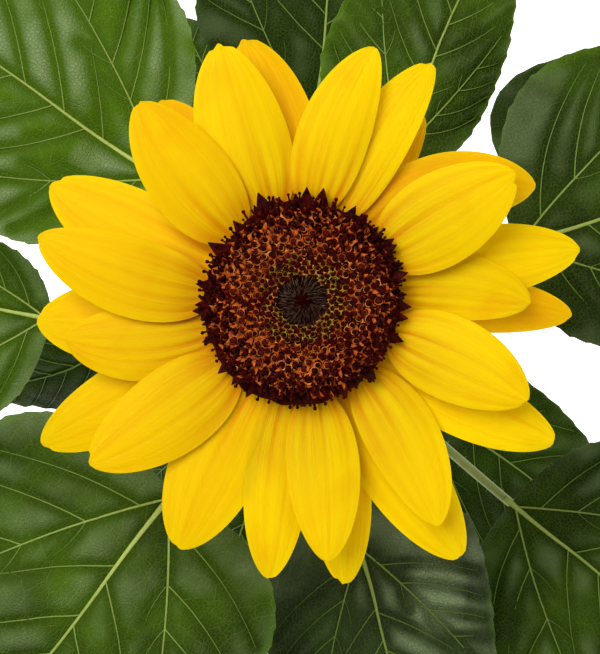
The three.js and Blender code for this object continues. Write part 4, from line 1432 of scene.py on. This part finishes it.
class SUNFLOWER_OT_leaves(bpy.types.Operator):
    """Build the leaves: toothed, quilted blades with raised veins, on channelled petioles with bristles"""

    bl_idname = "sunflower.leaves"
    bl_label = "Leaves"

    def execute(self, context):
        stem, leaf = settings(context.scene, "stem"), settings(context.scene, "leaf")
        colours = settings(context.scene, "colours")
        blades = [
            leaf_finish(colours, "leaf upper side", 0.08, 0.44),
            leaf_under_finish(colours),
            vein_finish(colours),
            leaf_finish(colours, "glossy leaf upper side", 0.26, 0.4),
        ]
        stalk = stalk_finish("petiole green", colours.petiole, colours.petiole_shade, 0.8)
        bristle = bristle_finish(colours, "petiole bristle", colours.petiole)
        hairs = Shape()
        names = [f"leaf_{number:02d}" for number in range(1, len(LEAVES) + 1)]
        for index, (node, row) in enumerate(zip(names, LEAVES)):
            form = LeafForm(row, stem, leaf)
            blade, petiole = Shape(), Shape()
            relief = leaf_blade(blade, form, index, index < SHARP_LEAVES)
            leaf_petiole(petiole, hairs, form, relief, index)
            add_piece(node + "_blade", blade, blades, [node])
            add_piece(node + "_petiole", petiole, [stalk], [node])
        add_piece("petiole_bristles", hairs, [bristle], names)
        return {"FINISHED"}


def bract(shape, hairs, sizes, turn, index, rng):
    """One bract: broad at its root, drawn out to a fine tip, with a keel and bristly edges."""
    depth, root, long, width, pitch = sizes
    along, side = direction(turn), np.cross(UP, direction(turn))
    s, t = grid(np.linspace(0, 1, 22), 13)
    half = width / 2 * np.maximum((1 - s**1.6) ** 1.15, 0.03)
    rise = long * math.tan(math.radians(pitch)) * s - 0.9 * t * t * (1 - s)
    rise = rise - 0.35 * bell(t, 0.16) + 0.12 * np.cos(9 * t) - rng.uniform(0.2, 1.4) * s**4
    middle = RIM_CENTRE - UP * depth + along * (root + long * s)[..., None] + side * (t * half)[..., None]
    middle = middle + UP * rise[..., None]
    points, faces, _ = sheet(middle + UP * 0.3, middle - UP * 0.3)
    shape.add(points, faces, 0, both_faces(t * half, s * long, index * 30.0))
    for edge, sign in ((0, -1), (-1, 1)):
        spots = middle[4:-1, edge]
        spots = np.concatenate([spots, (spots[:-1] + spots[1:]) / 2])
        axes = sign * side + along * 0.8 + rng.normal(0, 0.25, spots.shape)
        dealt(hairs, HAIR, spots, UP, axes, rng.uniform(0.9, 1.8, len(spots)))


class SUNFLOWER_OT_involucre(bpy.types.Operator):
    """Build the green cup under the head with its rings of pointed, hairy bracts"""

    bl_idname = "sunflower.involucre"
    bl_label = "Involucre"

    def execute(self, context):
        colours = settings(context.scene, "colours")
        rng = np.random.default_rng(31)
        shape, hairs = Shape(), Shape()
        radii, depths = np.array(CUP_PROFILE).T
        fine = np.linspace(depths[0], 0, 30)
        sides = np.stack([np.interp(-fine, -depths, radii), -fine], 1)
        profile = np.concatenate([[(0.02, -depths[0])], sides, [(0.02, 0)]])
        points, faces = lathe(profile, 96, lambda turn: 1 + 0.012 * np.cos(24 * turn))
        shape.add(points + RIM_CENTRE, faces, 0, points[:, [0, 2, 1]] * [1, 3, 1])
        for number, (count, first, *sizes) in enumerate(BRACT_RINGS):
            for k in range(count):
                bract(shape, hairs, sizes, first + 360 * k / count, number * 20 + k, rng)
        green = stalk_finish("bract green", colours.bract, colours.stem_shade, 2.2)
        bristle = bristle_finish(colours, "bract bristle", colours.bract)
        add_piece("involucre_bracts", shape, [green], ["involucre"])
        add_piece("involucre_bristles", hairs, [bristle], ["involucre"])
        return {"FINISHED"}


class SUNFLOWER_OT_petals(bpy.types.Operator):
    """Build the petals, one piece each, with soft pleats, notched ends and orange bases"""

    bl_idname = "sunflower.petals"
    bl_label = "Petals"

    def execute(self, context):
        sizes, colours = settings(context.scene, "petal"), settings(context.scene, "colours")
        bright = petal_finish(colours, "petal yellow", colours.petal)
        shaded = petal_finish(colours, "petal orange yellow", colours.petal_shaded)
        deep = petal_finish(colours, "petal deep yellow", colours.petal_deep)
        for index, row in enumerate(PETALS):
            left = direction(row[PETAL_COLUMNS.index("tip")])[0] < -0.35
            finish = shaded if index + 1 in SHADED_PETALS else deep if left else bright
            petal_piece(index, row, sizes, finish)
        return {"FINISHED"}


class SUNFLOWER_OT_disc(bpy.types.Operator):
    """Build the disc: open florets at its rim, closed buds, yellow-green tips and a bristly grey centre"""

    bl_idname = "sunflower.disc"
    bl_label = "Disc"

    def execute(self, context):
        disc, c = settings(context.scene, "disc"), settings(context.scene, "colours")
        finishes = [
            floret_finish("floret nearly black", c.floret_dark, c.floret_red, 0.6, 0.42, 900.0, 0.03),
            floret_finish("floret maroon", c.floret_red, c.floret_dark, 0.95, 0.42, 900.0, 0.12),
            floret_finish("floret orange", c.floret_orange, c.floret_red, 0.95, 0.5, 1400.0, 0.2),
            floret_finish("young tip", c.young_tip, c.floret_orange, 0.5, 0.45),
            floret_finish("young grey", c.young_grey, c.floret_dark, 0.7, 0.5),
            floret_finish("bud lip", c.floret_lip, c.floret_orange, 0.9, 0.4),
        ]
        rng = np.random.default_rng(41)
        radius, turn, gap = spiral_spots(disc)
        part = radius / disc.radius
        radius = radius + rim_reach(turn) * part**3
        out = level(turn)
        centre = RIM_CENTRE + [disc.shift_x, disc.shift_y, 0]
        lean = floret_lean(part) + rng.normal(0, 0.09, len(part))
        axes = tilted(out, lean) + rng.normal(0, 0.05, out.shape)
        tops = centre + out * radius[:, None] + UP * disc_height(part)[:, None]
        tops = tops + rng.normal(0, 0.09, tops.shape) * gap[:, None] * [1, 1, 0.6]
        florets = Florets(tops=tops, out=out, axes=axes, gap=gap, eye=part < disc.eye_zone)
        edge = disc.open_zone + rng.uniform(-0.1, 0.1, len(part))
        zone = (part >= disc.young_zone) + 1 * (part >= disc.bud_zone) + (part >= edge)
        names = "ground open_florets buds young_tips centre scales rim".split()
        shapes = {name: Shape() for name in names}
        cushion(shapes["ground"], disc)
        add_open(shapes["open_florets"], rng, florets.chosen(zone == 3))
        add_buds(shapes["buds"], rng, florets.chosen(zone == 2))
        add_young(shapes["young_tips"], rng, florets.chosen(zone == 1))
        add_centre(shapes["centre"], rng, florets.chosen(zone == 0))
        add_stars(shapes["scales"], disc, out[:, :2] * radius[:, None], centre)
        add_skirt(shapes["rim"], rng, disc, centre)
        add_rim(shapes["rim"], rng, disc, centre)
        for name, shape in shapes.items():
            add_piece("disc_" + name, shape, finishes, ["disc"])
        return {"FINISHED"}


def lamp(name, spot, target, size, power):
    """A square soft light that faces the target."""
    data = bpy.data.lights.new(name, "AREA")
    data.size = size
    data.energy = power
    made = shown(name, data)
    made.location = spot
    made.rotation_euler = (target - Vector(spot)).to_track_quat("-Z", "Y").to_euler()


class SUNFLOWER_OT_stage(bpy.types.Operator):
    """Set up the white floor, the soft lights and the camera that looks straight down on the head"""

    bl_idname = "sunflower.stage"
    bl_label = "Stage"

    def execute(self, context):
        scene = context.scene
        stage = settings(scene, "stage")
        mesh = bpy.data.meshes.new("floor")
        reach = 4.0
        corners = [(-reach, -reach, 0), (reach, -reach, 0), (reach, reach, 0), (-reach, reach, 0)]
        mesh.from_pydata(corners, [], [(0, 1, 2, 3)])
        mesh.materials.append(floor_finish(stage.glow))
        shown("floor", mesh)
        head = Vector(RIM_CENTRE * MM)
        lamp("key light", (-0.9, 0.8, 2.6), head, 1.5, stage.key_power)
        lamp("fill light", (1.5, -0.7, 1.6), head, 1.2, stage.fill_power)
        scene.world = bpy.data.worlds.new("soft sky")
        scene.world.use_nodes = True
        background = scene.world.node_tree.nodes["Background"]
        background.inputs["Color"].default_value = (1, 1, 1, 1)
        background.inputs["Strength"].default_value = stage.sky
        data = bpy.data.cameras.new("camera")
        data.lens = stage.lens
        data.clip_start = 0.01
        scene.camera = shown("camera", data)
        offset = [stage.camera_side, stage.camera_back, stage.camera_height]
        scene.camera.location = (RIM_CENTRE + offset) * MM
        scene.view_settings.view_transform = "Standard"
        scene.view_settings.look = "None"
        return {"FINISHED"}


STEPS = [
    SUNFLOWER_OT_stage,
    SUNFLOWER_OT_stem,
    SUNFLOWER_OT_leaves,
    SUNFLOWER_OT_involucre,
    SUNFLOWER_OT_petals,
    SUNFLOWER_OT_disc,
]
GROUP_PREFIX = "sunflower_"
GROUPS = {
    "stem": StemSizes,
    "leaf": LeafSizes,
    "petal": PetalSizes,
    "disc": DiscSizes,
    "colours": PlantColours,
    "stage": StageSettings,
}


class SUNFLOWER_PT_panel(bpy.types.Panel):
    """Lists the plant's sizes, its colours and the buttons that build its pieces"""

    bl_idname = "SUNFLOWER_PT_panel"
    bl_label = "Sunflower Plant"
    bl_space_type = "VIEW_3D"
    bl_region_type = "UI"
    bl_category = "Sunflower"

    def draw(self, context):
        for step in STEPS:
            self.layout.operator(step.bl_idname)
        for name, group in GROUPS.items():
            box = self.layout.box()
            for key in group.__annotations__:
                box.prop(getattr(context.scene, GROUP_PREFIX + name), key)


def register():
    for item in (*GROUPS.values(), *STEPS, SUNFLOWER_PT_panel):
        bpy.utils.register_class(item)
    for name, group in GROUPS.items():
        setattr(bpy.types.Scene, GROUP_PREFIX + name, bpy.props.PointerProperty(type=group))


def unregister():
    for name in GROUPS:
        delattr(bpy.types.Scene, GROUP_PREFIX + name)
    for item in (SUNFLOWER_PT_panel, *reversed(STEPS), *reversed(GROUPS.values())):
        bpy.utils.unregister_class(item)


def main():
    register()
    for step in STEPS:
        family, name = step.bl_idname.split(".")
        getattr(getattr(bpy.ops, family), name)()
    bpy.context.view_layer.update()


if __name__ == "__main__":
    main()
